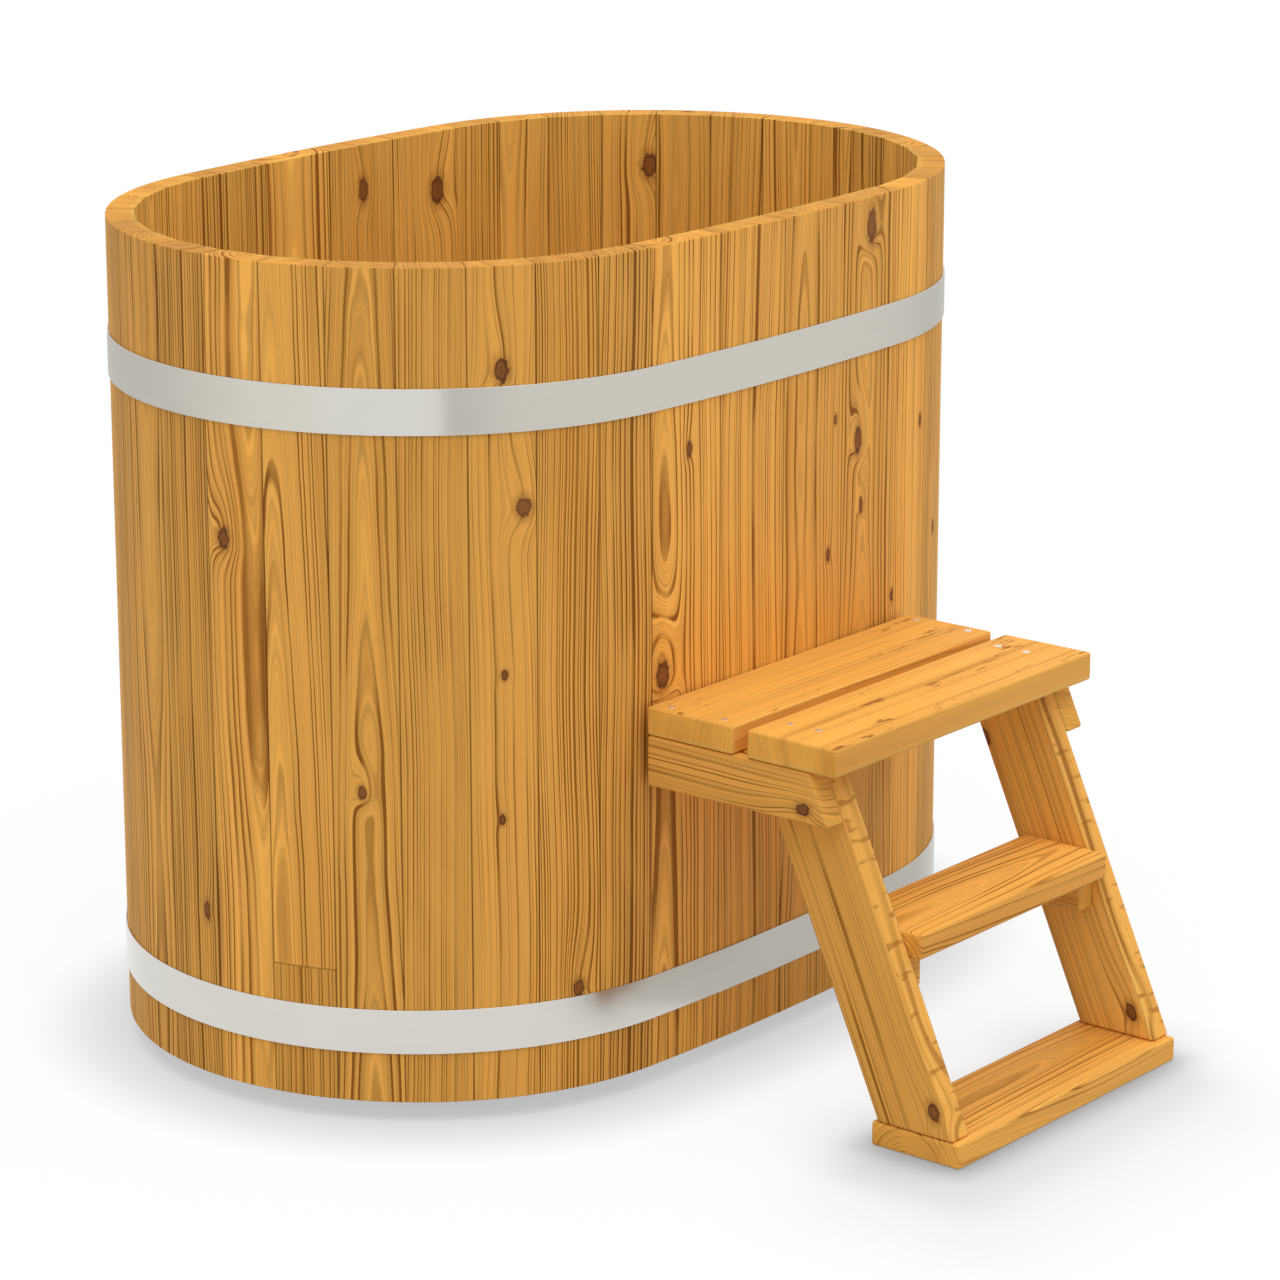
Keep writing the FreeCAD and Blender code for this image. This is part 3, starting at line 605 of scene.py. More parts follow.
# Boards whose figure the photograph shows, as changes to the drawn one. A heart is given across and outwards
# from the board's middle, or upwards on a flat board. Such a board has only the knots listed for it, each as
# (across, along, radius, stretch) from the middle. A patch is given by the place of its upper edge.
FIGURES = {
    "left_end_stave_01": dict(tone=1.10, contrast=1.8),
    "left_end_stave_02": dict(tone=1.14, contrast=2.2),
    "left_end_stave_05": dict(heart=(0.20, -0.03), rise=0.002, tone=0.83, contrast=1.2),
    "left_end_stave_06": log_figure((0.006, -0.03), -0.010, 0.92, 0.0055, 1.1),
    "left_end_stave_07": log_figure((-0.22, -0.03), 0.002, 0.87, 0.0046, 1.9),
    "left_end_stave_08": log_figure((0.022, -0.030), -0.012, 1.09, 0.0058, 2.0),
    "left_end_stave_09": log_figure((-0.026, -0.024), 0.011, 0.99, 0.0060, 1.8),
    "left_end_stave_10": log_figure((0.002, -0.026), 0.014, 0.92, 0.0056, 1.8),
    "left_end_stave_11": log_figure((0.22, -0.02), 0.002, 0.90, 0.0044, 1.1),
    "left_end_stave_12": log_figure((0.10, -0.030), 0.003, 0.96, 0.0066, 1.1),
    "left_end_stave_13": log_figure((-0.15, -0.03), 0.003, 0.98, 0.0048, 2.2),
    "left_end_stave_14": log_figure((-0.09, -0.03), -0.006, 0.92, 0.0056, 2.0),
    "front_stave_01": log_figure((-0.038, -0.024), 0.011, 1.13, 0.0054, 1.8),
    "front_stave_02": log_figure((0.22, -0.04), 0.002, 1.02, 0.0062, 1.7),
    "front_stave_03": log_figure((-0.02, -0.03), 0.006, 0.96, 0.0052, 1.3),
    "front_stave_04": log_figure((-0.012, -0.035), 0.009, 0.95, 0.0056, 1.6),
    "right_end_stave_01": log_figure((0.14, -0.03), 0.005, 1.18, 0.0050, 1.2),
    "right_end_stave_10": log_figure((0.01, 0.030), -0.008, 0.98, 0.0056, 1.5),
    "right_end_stave_11": log_figure((0.15, 0.03), 0.004, 1.06, 0.0066, 1.3),
    "right_end_stave_12": log_figure((0.16, 0.03), 0.003, 0.98, 0.0054, 1.6),
    "right_end_stave_13": log_figure((0.02, 0.035), -0.009, 1.04, 0.0058, 1.5),
    "right_end_stave_14": log_figure((-0.15, 0.03), 0.003, 0.98, 0.0050, 2.0),
    "back_stave_01": log_figure((0.18, 0.03), 0.003, 1.12, 0.0070, 1.4),
    "back_stave_02": log_figure((-0.18, 0.03), 0.003, 1.06, 0.0056, 1.4),
    "back_stave_03": log_figure((0.01, 0.040), 0.008, 1.18, 0.0068, 1.9),
    "back_stave_04": log_figure((0.16, -0.02), 0.003, 1.00, 0.0064, 1.9),
    "rear_tread": log_figure((0.16, -0.03), 0.002, 0.98, 0.0064, 0.5),
    "front_tread": log_figure((-0.14, -0.03), 0.002, 0.98, 0.0064, 0.4),
    "left_rail": log_figure((0.14, -0.03), 0.010, 0.93, 0.0070, 1.2),
    "left_stringer": log_figure((0.20, -0.04), 0.004, 0.94, 0.0100, 0.8),
    "right_stringer": log_figure((-0.20, 0.04), 0.004, 1.06, 0.0100, 0.8),
    "middle_step": log_figure((0.01, -0.035), 0.016, 1.04, 0.0056, 1.3),
    "foot_board": log_figure((-0.01, -0.030), 0.014, 0.98, 0.0060, 1.3),
}
KNOTS = {
    "left_end_stave_07": [(0.024, -0.297, 0.005, 2.6)],
    "left_end_stave_08": [(-0.019, 0.172, 0.009, 1.5)],
    "left_end_stave_10": [(-0.006, -0.120, 0.0055, 1.6)],
    "left_end_stave_12": [(0.0, 0.385, 0.009, 1.6), (0.026, 0.221, 0.010, 1.3),
                          (0.001, 0.021, 0.0045, 1.5), (-0.003, -0.156, 0.0040, 1.8)],
    "left_end_stave_13": [(0.012, -0.380, 0.008, 1.4)],
    "front_stave_01": [(0.005, 0.255, 0.0050, 2.0), (-0.042, -0.014, 0.012, 1.5)],
    "front_stave_03": [(0.046, 0.239, 0.0032, 2.2), (0.033, 0.070, 0.0045, 2.0)],
    "front_stave_04": [(-0.026, 0.204, 0.0075, 2.4), (-0.001, 0.471, 0.0095, 2.4),
                       (-0.018, 0.120, 0.0040, 3.0), (0.057, -0.014, 0.0042, 2.2)],
    "right_end_stave_01": [(0.025, 0.200, 0.0045, 2.0)],
    "right_end_stave_11": [(-0.029, 0.437, 0.011, 1.6)],
    "back_stave_01": [(-0.022, 0.428, 0.013, 1.5)],
    "back_stave_02": [(-0.003, 0.447, 0.009, 1.9)],
    "left_rail": [(-0.014, -0.098, 0.008, 1.3)],
    "left_stringer": [(0.037, -0.213, 0.008, 1.5)],
    "right_stringer": [(-0.032, -0.211, 0.008, 1.6), (0.046, 0.167, 0.005, 2.2)],
}
PATCHES = {"left_end_stave_09": -0.343}
SAWN_EDGE_NODES = ("left_stringer", "right_stringer")
RESIN_NODES = ("rear_tread", "front_tread")

# Each wood's tints on end grain and inner faces, its edge rounding, and whether its joints are dark
# The inner tint is painted light: it makes inner faces bluer and brighter against the orange bounce light
# they catch
Wood = namedtuple("Wood", "end_tint inner_tint edge_width grooved")
WOODS = {
    "stave_wood": Wood((0.80, 0.74, 0.46, 1), (1.0, 1.16, 1.28, 1), 0.0011, True),
    "step_wood": Wood((1.0, 1.0, 0.92, 1), (0.99, 1.10, 1.24, 1), 0.0040, False),
    "floor_wood": Wood((0.90, 0.86, 0.70, 1), WHITE, 0.0025, True),
}


def sawn_figure(board, width):
    """A drawn figure: where the log's heart lies, how fast its rings rise, and the board's own looks."""
    draw = random.Random(board)
    side = draw.choice((-1, 1))
    if draw.random() < NEAR_HEART_CHANCE:
        heart = (draw.uniform(*NEAR_HEART_SHARES) * width, -draw.uniform(*NEAR_HEART_DEPTHS))
        rise = draw.choice((-1, 1)) * draw.uniform(*STEEP_RISES)
    else:
        heart = (side * draw.uniform(*FAR_HEART_OFFSETS), -draw.uniform(*FAR_HEART_DEPTHS))
        rise = draw.choice((-1, 1)) * draw.uniform(*GENTLE_RISES)
    figure = {"heart": heart, "rise": rise, "tone": draw.uniform(*TONES), "seed": draw.random(),
              "spacing": draw.uniform(*SPACINGS), "contrast": draw.uniform(*CONTRASTS), "knots": []}
    if draw.random() < KNOT_CHANCE:
        place = (draw.uniform(*KNOT_SHARES) * width, draw.uniform(*KNOT_PLACES))
        figure["knots"].append((*place, draw.uniform(*KNOT_SIZES), draw.uniform(*KNOT_STRETCHES)))
    return figure


def wood_piece(node, material, slot, edge_width, grooved):
    """A board, or a group of boards, with rounded edges and the grain of its own log."""
    mesh = clean_copy(node)
    axes = [board_axes(part) for part in loose_parts(mesh)]
    axes.sort(key=lambda item: tuple(round(value, SORT_DIGITS) for value in item[0]))
    grain, pith, look = [mesh.verts.layers.float_vector.new(name) for name in ("grain", "pith", "look")]
    seeds, patches = [mesh.verts.layers.float.new(name) for name in ("seed", "patch")]
    knot_layers = [mesh.verts.layers.float_color.new(name) for name in KNOT_SLOTS]
    ends, grooves, sawn_edges, resins = [mesh.faces.layers.float.new(name) for name in FACE_MARKS]
    rounded = set(soften_edges(mesh, edge_width, SHORTEST_EDGE))
    for part in loose_parts(mesh):
        place = middle(part)
        index = min(range(len(axes)), key=lambda item: (axes[item][0] - place).length)
        centre, across, through, along = axes[index]
        board = f"{node}_{index + 1}" if len(axes) > 1 else node
        width = 2 * max(abs((vertex.co - centre).dot(across)) for vertex in part)
        figure = sawn_figure(board, width)
        if board in FIGURES:
            figure.update({"knots": KNOTS.get(board, []), **FIGURES[board]})
        knots = [*figure["knots"], *[FAR_KNOT] * len(KNOT_SLOTS)]
        for vertex in part:
            offset = vertex.co - centre
            vertex[grain] = (offset.dot(across), offset.dot(through), offset.dot(along))
            vertex[pith] = (*figure["heart"], figure["rise"])
            vertex[look] = (figure["tone"], figure["spacing"], figure["contrast"])
            vertex[seeds] = figure["seed"]
            vertex[patches] = PATCHES.get(board, NO_PATCH)
            for layer, knot in zip(knot_layers, knots):
                vertex[layer] = knot
        for face in {face for vertex in part for face in vertex.link_faces}:
            sideways = abs(face.normal.dot(across))
            face[ends] = float(abs(face.normal.dot(along)) > FACING)
            face[grooves] = float(grooved and face in rounded and sideways > GROOVE_FACING)
            face[sawn_edges] = float(node in SAWN_EDGE_NODES and sideways > FACING)
            face[resins] = float(node in RESIN_NODES and face.normal.dot(through) > FACING)
    finish_piece(mesh, f"{node}_wood", material, "tub", slot, node)


def dress_wood():
    """Every board of the tub, its floor and its steps."""
    materials = {slot: wood_material(slot.replace("_", " "), wood.end_tint, wood.inner_tint)
                 for slot, wood in WOODS.items()}
    for row in frame["record"]["subparts"]:
        slot = row["material_slot"]
        if slot in WOODS:
            wood = WOODS[slot]
            wood_piece(row["node"], materials[slot], slot, wood.edge_width, wood.grooved)


# Metal, rubber and paint

# Scratches and clouds on a surface: waves to a metre, shade, share in it, added roughness and relief
Finish = namedtuple("Finish", "scratches clouds shade mottle scratch_roughness cloud_roughness bump")
BRUSHED = Finish((6, 6, 2600), (5, 5, 9), 0.90, 0.10, 0.06, 0.04, (0.03, 0.0002))
GRITTY = Finish((900, 900, 900), (40, 40, 40), 0.86, 0.14, 0.0, 0.12, (0.06, 0.0003))
SCRATCH_DETAIL = (3.0, 0.6)

# Colour, roughness, finish and metallic share of each material
METALS = {
    "hoop_steel": ((0.66, 0.645, 0.60, 1), 0.11, BRUSHED, 1.0),
    "fastener_steel": ((0.86, 0.86, 0.84, 1), 0.32, GRITTY, 1.0),
    "drain_steel": ((0.70, 0.70, 0.69, 1), 0.18, GRITTY, 1.0),
    "valve_brass": ((0.75, 0.56, 0.27, 1), 0.22, GRITTY, 1.0),
    "lever_paint": ((0.42, 0.03, 0.025, 1), 0.30, GRITTY, 0.0),
    "gasket_rubber": ((0.03, 0.03, 0.03, 1), 0.60, GRITTY, 0.0),
}

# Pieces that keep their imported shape: body, slot and edge rounding
PLAIN_PIECES = {
    "upper_hoop": ("tub", "hoop_steel", 0.0004),
    "lower_hoop": ("tub", "hoop_steel", 0.0004),
    "drain_flange": ("tub", "drain_steel", 0.0008),
    "drain_gasket": ("tub", "gasket_rubber", 0.0005),
    "drain_locknut": ("tub", "valve_brass", 0.0006),
    "waste_elbow": ("tub", "valve_brass", 0.0),
    "valve_ball": ("valve_handle", "valve_brass", 0.0),
}

X_AXIS = Vector((1, 0, 0))
Y_AXIS = Vector((0, 1, 0))
Z_AXIS = Vector((0, 0, 1))

# Turned shapes
SCREW_SEGMENTS = 24
BOLT_SEGMENTS = 36
VALVE_SEGMENTS = 48
ROWS_PER_TURN = 4
CHAMFER_WAIST = 0.97
CHAMFER_SLOPE = math.tan(math.radians(30))

# Wood screws
SCREW_RADIUS = 0.0025
SCREW_HEAD_RADIUS = 0.0048
SCREW_HEAD_HEIGHT = 0.0040
SCREW_RIM_WIDTH = 0.0002
SCREW_RIM_HEIGHT = 0.0003
SCREW_SHANK_END = 0.0200
SCREW_THREAD = (0.0201, 0.0540)
SCREW_PITCH = 0.0026
SCREW_THREAD_DEPTH = 0.0007
SCREW_TIP = ((0.0545, 0.0018), (0.0598, 0.0003))
RECESS_DEPTH = 0.0012
RECESS_RADIUS = 0.0016
RECESS_LOBES = 6
LOBE_HEIGHT = 0.0003
END_TOLERANCE = 0.001

# Hoop bolts and nuts
BOLT_HEAD = 0.0055
BOLT_KEY_WIDTH = 0.013
BOLT_RADIUS = 0.004
BOLT_THREAD = 0.026
BOLT_RUNOUT = 0.0002
BOLT_PITCH = 0.00125
BOLT_THREAD_DEPTH = 0.0007
BOLT_TIP = 0.001
NUT_PLAY = 0.00005
NUT_CHAMFER = 0.0006

# Valve body along its bore, from the tub's side
BARREL_RADIUS = 0.023
BARREL_LENGTH = 0.058
COLLAR_KEY_WIDTH = 0.0394
COLLAR_CHAMFER = 0.0025
COLLAR_END = 0.013
COLLAR_GAP = 0.002
NECK_RADIUS = 0.0196
SWELL_LENGTH = BARREL_LENGTH - 2 * COLLAR_END - 2 * COLLAR_GAP
SWELL_HEIGHT = 0.0028
SWELL_SHARES = (0.0, 0.1, 0.2, 0.35, 0.5, 0.65, 0.8, 0.9, 1.0)
OUTLET_RADIUS = 0.0164
OUTLET_ROOT = 0.0151
OUTLET_GROOVE = (0.0002, 0.002)
OUTLET_THREAD_GAPS = (0.0025, 0.0015)
OUTLET_PITCH = 0.0023
OUTLET_THREAD_DEPTH = 0.0011
OVERRUN = 0.001

# Gland nut round the valve's stem, down from the body's top
GLAND_KEY_WIDTH = 0.0186
GLAND_NECK = 0.0102
GLAND_ROOT = 0.025
GLAND_BOTTOM = 0.0098
GLAND_CHAMFERS = (0.001, 0.0018)
GLAND_TOP_STEP = 0.0012

# Valve lever
LEVER_EDGE = 0.0008
PANEL_FACING = 0.99
PANEL_INSET = 0.0022
PANEL_DEPTH = 0.0007


def surface_material(name, colour, roughness, finish, metallic):
    """Metal, paint or rubber with fine scratches and soft clouds."""
    material, graph, shader = new_material(name, Metallic=metallic)
    place = graph.place()
    scratch_place = tuple(part * waves for part, waves in zip(place, finish.scratches))
    cloud_place = tuple(part * waves for part, waves in zip(place, finish.clouds))
    scratch = graph.noise(scratch_place, *SCRATCH_DETAIL)
    cloud = graph.noise(cloud_place)
    uneven = scratch * finish.scratch_roughness + cloud * finish.cloud_roughness
    shade = finish.shade + (scratch + cloud) * finish.mottle
    graph.feed(shader.inputs["Base Color"], graph.shaded(colour, shade))
    graph.feed(shader.inputs["Roughness"], roughness + uneven)
    graph.feed(shader.inputs["Normal"], graph.bump(scratch, *finish.bump))
    return material


def turned(mesh, start, along, side, rows, segments, hollow=False):
    """A turned shape from rows of (height, radius), where a radius may depend on the angle from the side."""
    other = along.cross(side)
    loops = []
    for height, radius in rows:
        loop = []
        for index in range(segments):
            angle = math.tau * index / segments
            size = radius(angle) if callable(radius) else radius
            spoke = side * math.cos(angle) + other * math.sin(angle)
            loop.append(mesh.verts.new(start + along * height + spoke * size))
        loops.append(loop)
    pairs = list(zip(loops, loops[1:]))
    if hollow:
        pairs.append((loops[-1], loops[0]))
    else:
        mesh.faces.new(reversed(loops[0]))
        mesh.faces.new(loops[-1])
    for low, high in pairs:
        for index in range(segments):
            following = (index + 1) % segments
            mesh.faces.new((low[index], low[following], high[following], high[index]))


def hexagon(key_width):
    """The radius of a hexagon with a corner at angle 0."""
    return lambda angle: key_width / 2 / math.cos(angle % (math.pi / 3) - math.pi / 6)


def hex_rows(length, key_width, far_chamfer):
    """A hexagon whose corners are turned off at its start and, where asked, at its far end."""
    outline = hexagon(key_width)
    waist = key_width / 2 * CHAMFER_WAIST
    chamfer = (key_width / 2 / math.cos(math.pi / 6) - waist) * CHAMFER_SLOPE
    far_rows = [(length - chamfer, outline), (length, waist)] if far_chamfer else [(length, outline)]
    return [(0.0, waist), (chamfer, outline), *far_rows]


def thread_rows(low, high, radius, pitch, depth):
    """Rows of a screw thread."""
    def groove(height):
        return lambda angle: radius - depth * abs(2 * ((height / pitch - angle / math.tau) % 1) - 1)
    count = round((high - low) / pitch * ROWS_PER_TURN)
    heights = [low + (high - low) * index / count for index in range(count + 1)]
    return [(height, groove(height)) for height in heights]


def star(angle):
    """The outline of the screws' recess."""
    return RECESS_RADIUS + LOBE_HEIGHT * math.cos(RECESS_LOBES * angle)


def screw_rows():
    """A countersunk head with its recess, a plain shank, a coarse thread and a point."""
    return [(RECESS_DEPTH, star), (0.0, star), (0.0, SCREW_HEAD_RADIUS - SCREW_RIM_WIDTH),
            (SCREW_RIM_HEIGHT, SCREW_HEAD_RADIUS), (SCREW_HEAD_HEIGHT, SCREW_RADIUS),
            (SCREW_SHANK_END, SCREW_RADIUS),
            *thread_rows(*SCREW_THREAD, SCREW_RADIUS, SCREW_PITCH, SCREW_THREAD_DEPTH), *SCREW_TIP]


def end_spread(vertices, axis, end):
    """How far the vertices at one end of a solid lie from its middle."""
    centre = middle(vertices)
    places = [vertex.co for vertex in vertices if abs(vertex.co[axis] - end) < END_TOLERANCE]
    return max((place - centre).length for place in places)


def screw_piece(material):
    """Countersunk wood screws, one to each screw of the frame, with the head at its wide end."""
    mesh = bmesh.new()
    packed = clean_copy("step_screws")
    for part in loose_parts(packed):
        axis = max(range(3), key=lambda item: extent(part, item)[1] - extent(part, item)[0])
        low, high = extent(part, axis)
        head = max((low, high), key=lambda end: end_spread(part, axis, end))
        along = Vector([float(item == axis) for item in range(3)]) * (1 if head == low else -1)
        top = middle(part)
        top[axis] = head
        turned(mesh, top, along, along.orthogonal().normalized(), screw_rows(), SCREW_SEGMENTS)
    packed.free()
    finish_piece(mesh, "step_screws_metal", material, "tub", "fastener_steel", "step_screws")


def bolt_rows(length):
    """A hexagon bolt, threaded at the nut's end."""
    thread_start = length - BOLT_THREAD
    return [*hex_rows(BOLT_HEAD, BOLT_KEY_WIDTH, False), (BOLT_HEAD, BOLT_RADIUS),
            (thread_start, BOLT_RADIUS),
            *thread_rows(thread_start + BOLT_RUNOUT, length - BOLT_TIP, BOLT_RADIUS, BOLT_PITCH,
                         BOLT_THREAD_DEPTH),
            (length, BOLT_RADIUS - BOLT_TIP)]


def nut_rows(height):
    """A hexagon nut, round its outside and back through its bore."""
    bore = BOLT_RADIUS + NUT_PLAY
    return [*hex_rows(height, BOLT_KEY_WIDTH, True), (height, bore + NUT_CHAMFER),
            (height - NUT_CHAMFER, bore), (NUT_CHAMFER, bore), (0.0, bore + NUT_CHAMFER)]


def hoop_fastener_piece(node, rows, material, hollow):
    """A turned shape along X for each solid of the node, from rows that depend on its length."""
    mesh = bmesh.new()
    packed = clean_copy(node)
    for part in loose_parts(packed):
        low, high = extent(part, 0)
        start = middle(part)
        start.x = low
        turned(mesh, start, X_AXIS, Z_AXIS, rows(high - low), BOLT_SEGMENTS, hollow)
    packed.free()
    finish_piece(mesh, f"{node}_metal", material, "tub", "fastener_steel", node)


def combined(first, second, operation):
    """Two meshes joined, or cut by each other; both are used up."""
    solids = []
    for mesh in (first, second):
        data = bpy.data.meshes.new("solid")
        mesh.to_mesh(data)
        mesh.free()
        solids.append(placed("solid", data))
    cut = solids[0].modifiers.new("Boolean", "BOOLEAN")
    cut.operation = operation
    cut.object = solids[1]
    cut.solver = "EXACT"
    shown = solids[0].evaluated_get(bpy.context.evaluated_depsgraph_get())
    result = bmesh.new()
    result.from_mesh(shown.to_mesh())
    for solid in solids:
        data = solid.data
        bpy.data.objects.remove(solid)
        bpy.data.meshes.remove(data)
    return result


def barrel_rows(length):
    """The valve body's collars, swollen middle and threaded outlet, a little longer than the body."""
    collar = hexagon(COLLAR_KEY_WIDTH)
    start = COLLAR_END + COLLAR_GAP
    swell = [(start + SWELL_LENGTH * share, NECK_RADIUS + SWELL_HEIGHT * math.sin(math.pi * share))
             for share in SWELL_SHARES]
    groove = [(BARREL_LENGTH + distance, OUTLET_ROOT) for distance in OUTLET_GROOVE]
    start_gap, end_gap = OUTLET_THREAD_GAPS
    thread = thread_rows(BARREL_LENGTH + start_gap, length - end_gap, OUTLET_RADIUS, OUTLET_PITCH,
                         OUTLET_THREAD_DEPTH)
    return [(-OVERRUN, NECK_RADIUS), (0.0, NECK_RADIUS), (COLLAR_CHAMFER, collar), (COLLAR_END, collar),
            *swell, (BARREL_LENGTH - COLLAR_END, collar), (BARREL_LENGTH - COLLAR_CHAMFER, collar),
            (BARREL_LENGTH, NECK_RADIUS), *groove, *thread, (length, OUTLET_ROOT),
            (length + OVERRUN, OUTLET_ROOT)]


def gland_rows():
    """The gland nut and the neck below it, from deep inside the body to just above its top."""
    nut = hexagon(GLAND_KEY_WIDTH)
    bottom_chamfer, top_chamfer = GLAND_CHAMFERS
    top_radius = GLAND_NECK - GLAND_TOP_STEP
    return [(-GLAND_ROOT, GLAND_NECK), (-GLAND_BOTTOM, GLAND_NECK), (bottom_chamfer - GLAND_BOTTOM, nut),
            (-top_chamfer, nut), (0.0, top_radius), (OVERRUN, top_radius)]


def valve_body_piece(material):
    """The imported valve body, machined to its barrel and its gland nut."""
    low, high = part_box("valve_body")
    stem = Vector(frame["record"]["behaviour"]["joints"][0]["pos_m"])
    bore_start = Vector((stem.x, low.y, low.z + BARREL_RADIUS))
    gland_top = Vector((stem.x, stem.y, high.z))
    barrel = bmesh.new()
    turned(barrel, bore_start, Y_AXIS, Z_AXIS, barrel_rows(high.y - low.y), VALVE_SEGMENTS)
    gland = bmesh.new()
    turned(gland, gland_top, Z_AXIS, X_AXIS, gland_rows(), VALVE_SEGMENTS)
    mesh = combined(clean_copy("valve_body"), combined(barrel, gland, "UNION"), "INTERSECT")
    finish_piece(mesh, "valve_body_metal", material, "tub", "valve_brass", "valve_body")


def lever_piece(material):
    """The valve's lever with rounded edges and a shallow panel pressed into its top."""
    mesh = clean_copy("valve_lever")
    soften_edges(mesh, LEVER_EDGE, 0.0)
    top = max(vertex.co.z for vertex in mesh.verts) - MERGE_DISTANCE
    panel = [face for face in mesh.faces
             if face.normal.z > PANEL_FACING and face.calc_center_median().z > top]
    bmesh.ops.inset_region(mesh, faces=panel, thickness=PANEL_INSET, depth=-PANEL_DEPTH,
                           use_even_offset=True)
    finish_piece(mesh, "valve_lever_metal", material, "valve_handle", "lever_paint", "valve_lever")


def plain_piece(node, material, body, slot, edge_width):
    """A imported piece, with its sharp edges rounded if a width is given."""
    mesh = clean_copy(node)
    if edge_width:
        soften_edges(mesh, edge_width, 0.0)
    finish_piece(mesh, f"{node}_metal", material, body, slot, node)


def dress_metal():
    """The hoops, all fasteners and the drain with its valve."""
    materials = {slot: surface_material(slot.replace("_", " "), *values) for slot, values in METALS.items()}
    screw_piece(materials["fastener_steel"])
    hoop_fastener_piece("hoop_bolts", bolt_rows, materials["fastener_steel"], hollow=False)
    hoop_fastener_piece("hoop_nuts", nut_rows, materials["fastener_steel"], hollow=True)
    valve_body_piece(materials["valve_brass"])
    lever_piece(materials["lever_paint"])
    for node, (body, slot, edge_width) in PLAIN_PIECES.items():
        plain_piece(node, materials[slot], body, slot, edge_width)


# Stage: floor, light and camera

def direction(azimuth, elevation):
    """The way from the object towards a viewer or lamp."""
    level = math.cos(elevation)
    return Vector((math.sin(azimuth) * level, -math.cos(azimuth) * level, math.sin(elevation)))


def seen_directly(graph):
    """1 where the camera, a mirror or glass looks, and 0 where light bounces."""
    path = graph.node("ShaderNodeLightPath")
    camera, glossy, clear = [Field(graph, path.outputs[f"Is {kind} Ray"])
                             for kind in ("Camera", "Glossy", "Transmission")]
    return graph.math("MAXIMUM", graph.math("MAXIMUM", camera, glossy), clear)


def join_shaders(graph, mixed, first, second, output):
    """Put a mix of two shaders on a surface."""
    links = graph.tree.links
    links.new(first.outputs[0], mixed.inputs[1])
    links.new(second.outputs[0], mixed.inputs[2])
    links.new(mixed.outputs[0], graph.tree.nodes[output].inputs["Surface"])


def foot_shade(graph):
    """The soft shadow that the photograph shows in front of the low foot board."""
    low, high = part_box("foot_board")
    place = graph.place()
    forward = direction(SHADOW_HEADING, 0.0)
    shade = 1.0
    for shift, softness, depth in FOOT_SHADOWS:
        square = 0.0
        for axis in range(2):
            centre = (low[axis] + high[axis]) / 2 + forward[axis] * shift
            half = (high[axis] - low[axis]) / 2
            beyond = graph.math("MAXIMUM", graph.math("ABSOLUTE", place[axis] - centre) - half, 0.0)
            square = square + beyond * beyond
        shade = shade - graph.math("EXPONENT", square * (-1 / softness ** 2)) * depth
    return shade


def pale_floor():
    """A white floor with a soft shadow close to the object, which throws less light back than it shows."""
    data = bpy.data.meshes.new("floor")
    half = FLOOR_SIZE / 2
    corners = [(-half, -half, 0), (half, -half, 0), (half, half, 0), (-half, half, 0)]
    data.from_pydata(corners, [], [(0, 1, 2, 3)])
    material, graph, shader = new_material("floor", Roughness=1.0, Specular_IOR_Level=0.0)
    seen = seen_directly(graph)
    graph.feed(shader.inputs["Base Color"], graph.mix(seen, FLOOR_BOUNCE_COLOUR, FLOOR_COLOUR))
    nearness = graph.node("ShaderNodeAmbientOcclusion", Distance=SHADOW_REACH)
    openness = Field(graph, nearness.outputs["AO"])
    brightness = (DARKEST_SHADOW + openness * openness * (1 - DARKEST_SHADOW)) * foot_shade(graph)
    glow = graph.node("ShaderNodeEmission", Color=brightness, Strength=1.0)
    mixed = graph.node("ShaderNodeMixShader", Fac=seen * FLOOR_GLOW_SHARE)
    join_shaders(graph, mixed, shader, glow, "Material Output")
    data.materials.append(material)
    floor = placed("floor", data)


def card_level(levels, angle):
    """A card's grey at an angle in degrees, between its given levels."""
    for (low, low_level), (high, high_level) in zip(levels, levels[1:]):
        if angle <= high:
            return low_level + (high_level - low_level) * (angle - low) / (high - low)
    return levels[-1][1]


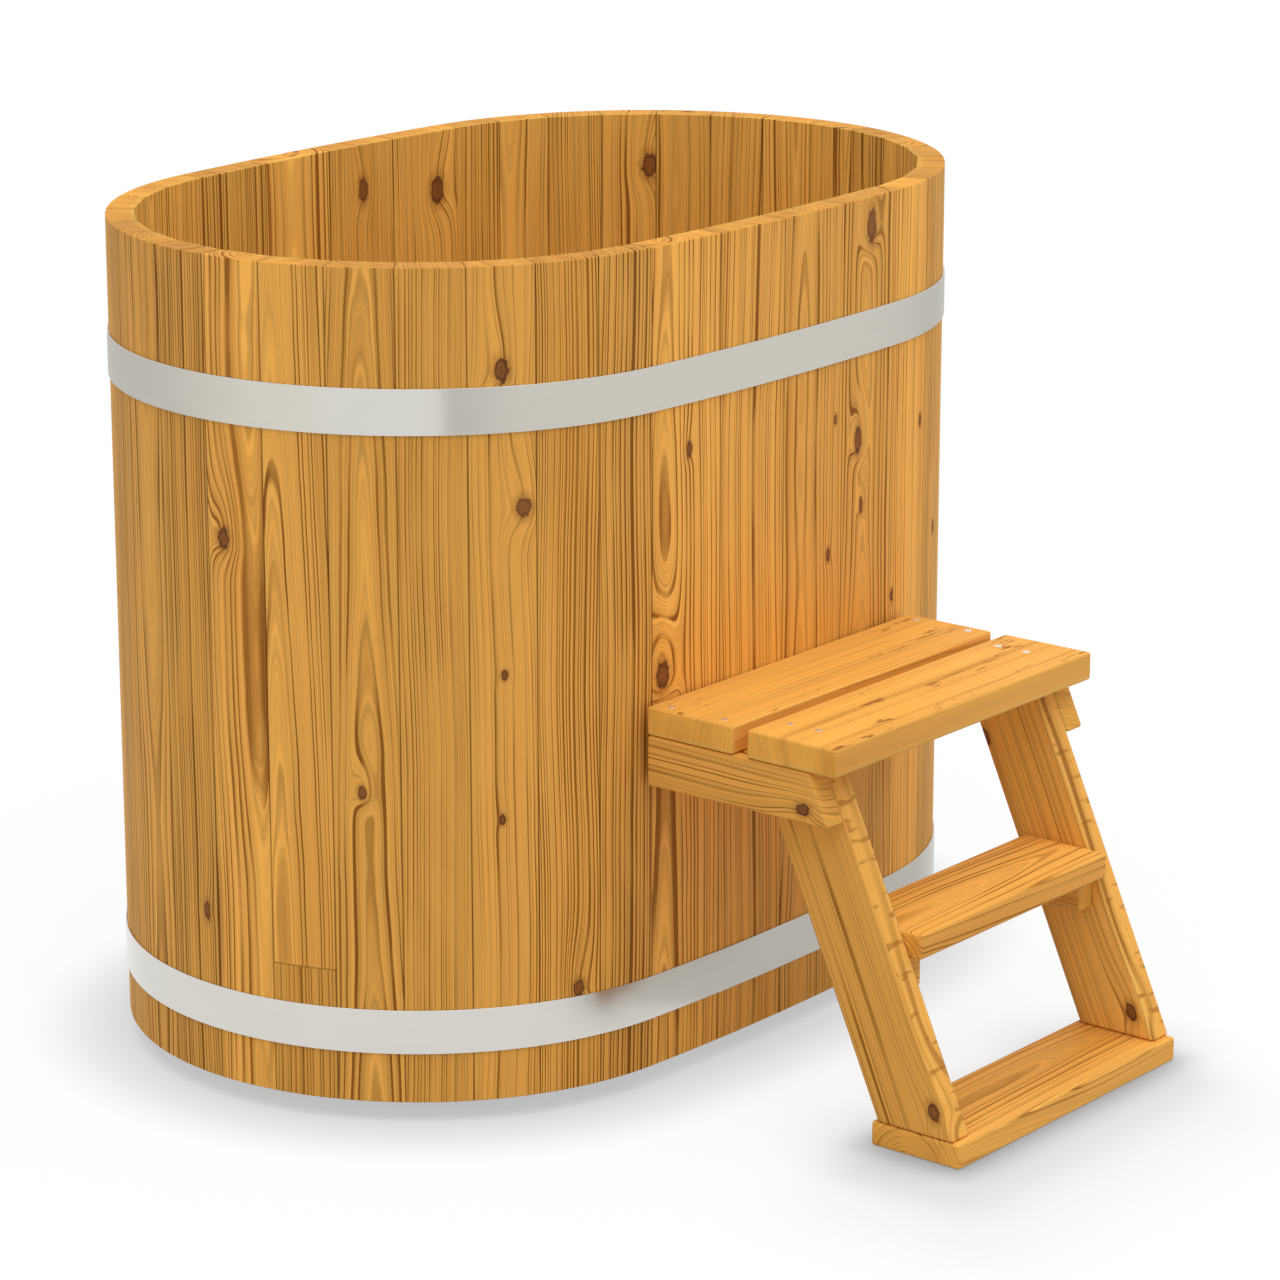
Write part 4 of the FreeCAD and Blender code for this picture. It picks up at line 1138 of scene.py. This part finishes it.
def grey_card(name, centre, reach, levels):
    """A grey card on the floor, which only shiny surfaces see, as a photographer sets one."""
    data = bpy.data.meshes.new(name)
    first, last = levels[0][0], levels[-1][0]
    points = []
    greys = []
    for index in range(CARD_STEPS + 1):
        angle = first + (last - first) * index / CARD_STEPS
        spoke = (math.cos(math.radians(angle)), math.sin(math.radians(angle)))
        for distance in reach:
            points.append((centre[0] + distance * spoke[0], centre[1] + distance * spoke[1], CARD_HEIGHT))
            greys.append(card_level(levels, angle))
    faces = [(2 * index, 2 * index + 1, 2 * index + 3, 2 * index + 2) for index in range(CARD_STEPS)]
    data.from_pydata(points, [], faces)
    data.attributes.new("level", "FLOAT", "POINT").data.foreach_set("value", greys)
    material, graph, _ = new_material(name)
    glow = graph.node("ShaderNodeEmission", Color=CARD_TINT, Strength=graph.attribute("level", "Fac"))
    output = graph.tree.nodes["Material Output"]
    graph.tree.links.new(glow.outputs[0], output.inputs["Surface"])
    data.materials.append(material)
    card = placed(name, data)
    for kind in ("camera", "diffuse", "transmission", "shadow"):
        setattr(card, f"visible_{kind}", False)


def white_world():
    """A soft sky for light, which the camera and shiny surfaces see as plain white."""
    world = bpy.data.worlds.new("studio")
    bpy.context.scene.world = world
    world.use_nodes = True
    graph = Graph(world.node_tree)
    sky = world.node_tree.nodes["Background"]
    sky.inputs["Color"].default_value = WHITE
    sky.inputs["Strength"].default_value = SKY_STRENGTH
    white = graph.node("ShaderNodeBackground", Color=WHITE, Strength=1.0)
    mixed = graph.node("ShaderNodeMixShader", Fac=seen_directly(graph))
    join_shaders(graph, mixed, sky, white, "World Output")


def soft_sun():
    """A wide lamp from high above."""
    data = bpy.data.lights.new("key", "SUN")
    data.energy = SUN_STRENGTH
    data.angle = SUN_SPREAD
    lamp = placed("key", data)
    lamp.rotation_mode = "QUATERNION"
    lamp.rotation_quaternion = direction(SUN_AZIMUTH, SUN_ELEVATION).to_track_quat("Z", "Y")


def photo_camera():
    """The camera at the photograph's place."""
    data = bpy.data.cameras.new("camera")
    data.sensor_width = SENSOR_WIDTH_MM
    data.lens = LENS_MM
    camera = placed("camera", data)
    towards_viewer = direction(VIEW_AZIMUTH, VIEW_ELEVATION)
    camera.location = VIEW_TARGET + towards_viewer * VIEW_DISTANCE
    camera.rotation_mode = "QUATERNION"
    camera.rotation_quaternion = towards_viewer.to_track_quat("Z", "Y")
    bpy.context.scene.camera = camera


dress_wood()
dress_metal()
pale_floor()
grey_card("far_card", **FAR_CARD)
grey_card("near_card", **NEAR_CARD)
white_world()
soft_sun()
photo_camera()
bpy.context.scene.view_settings.view_transform = "Standard"
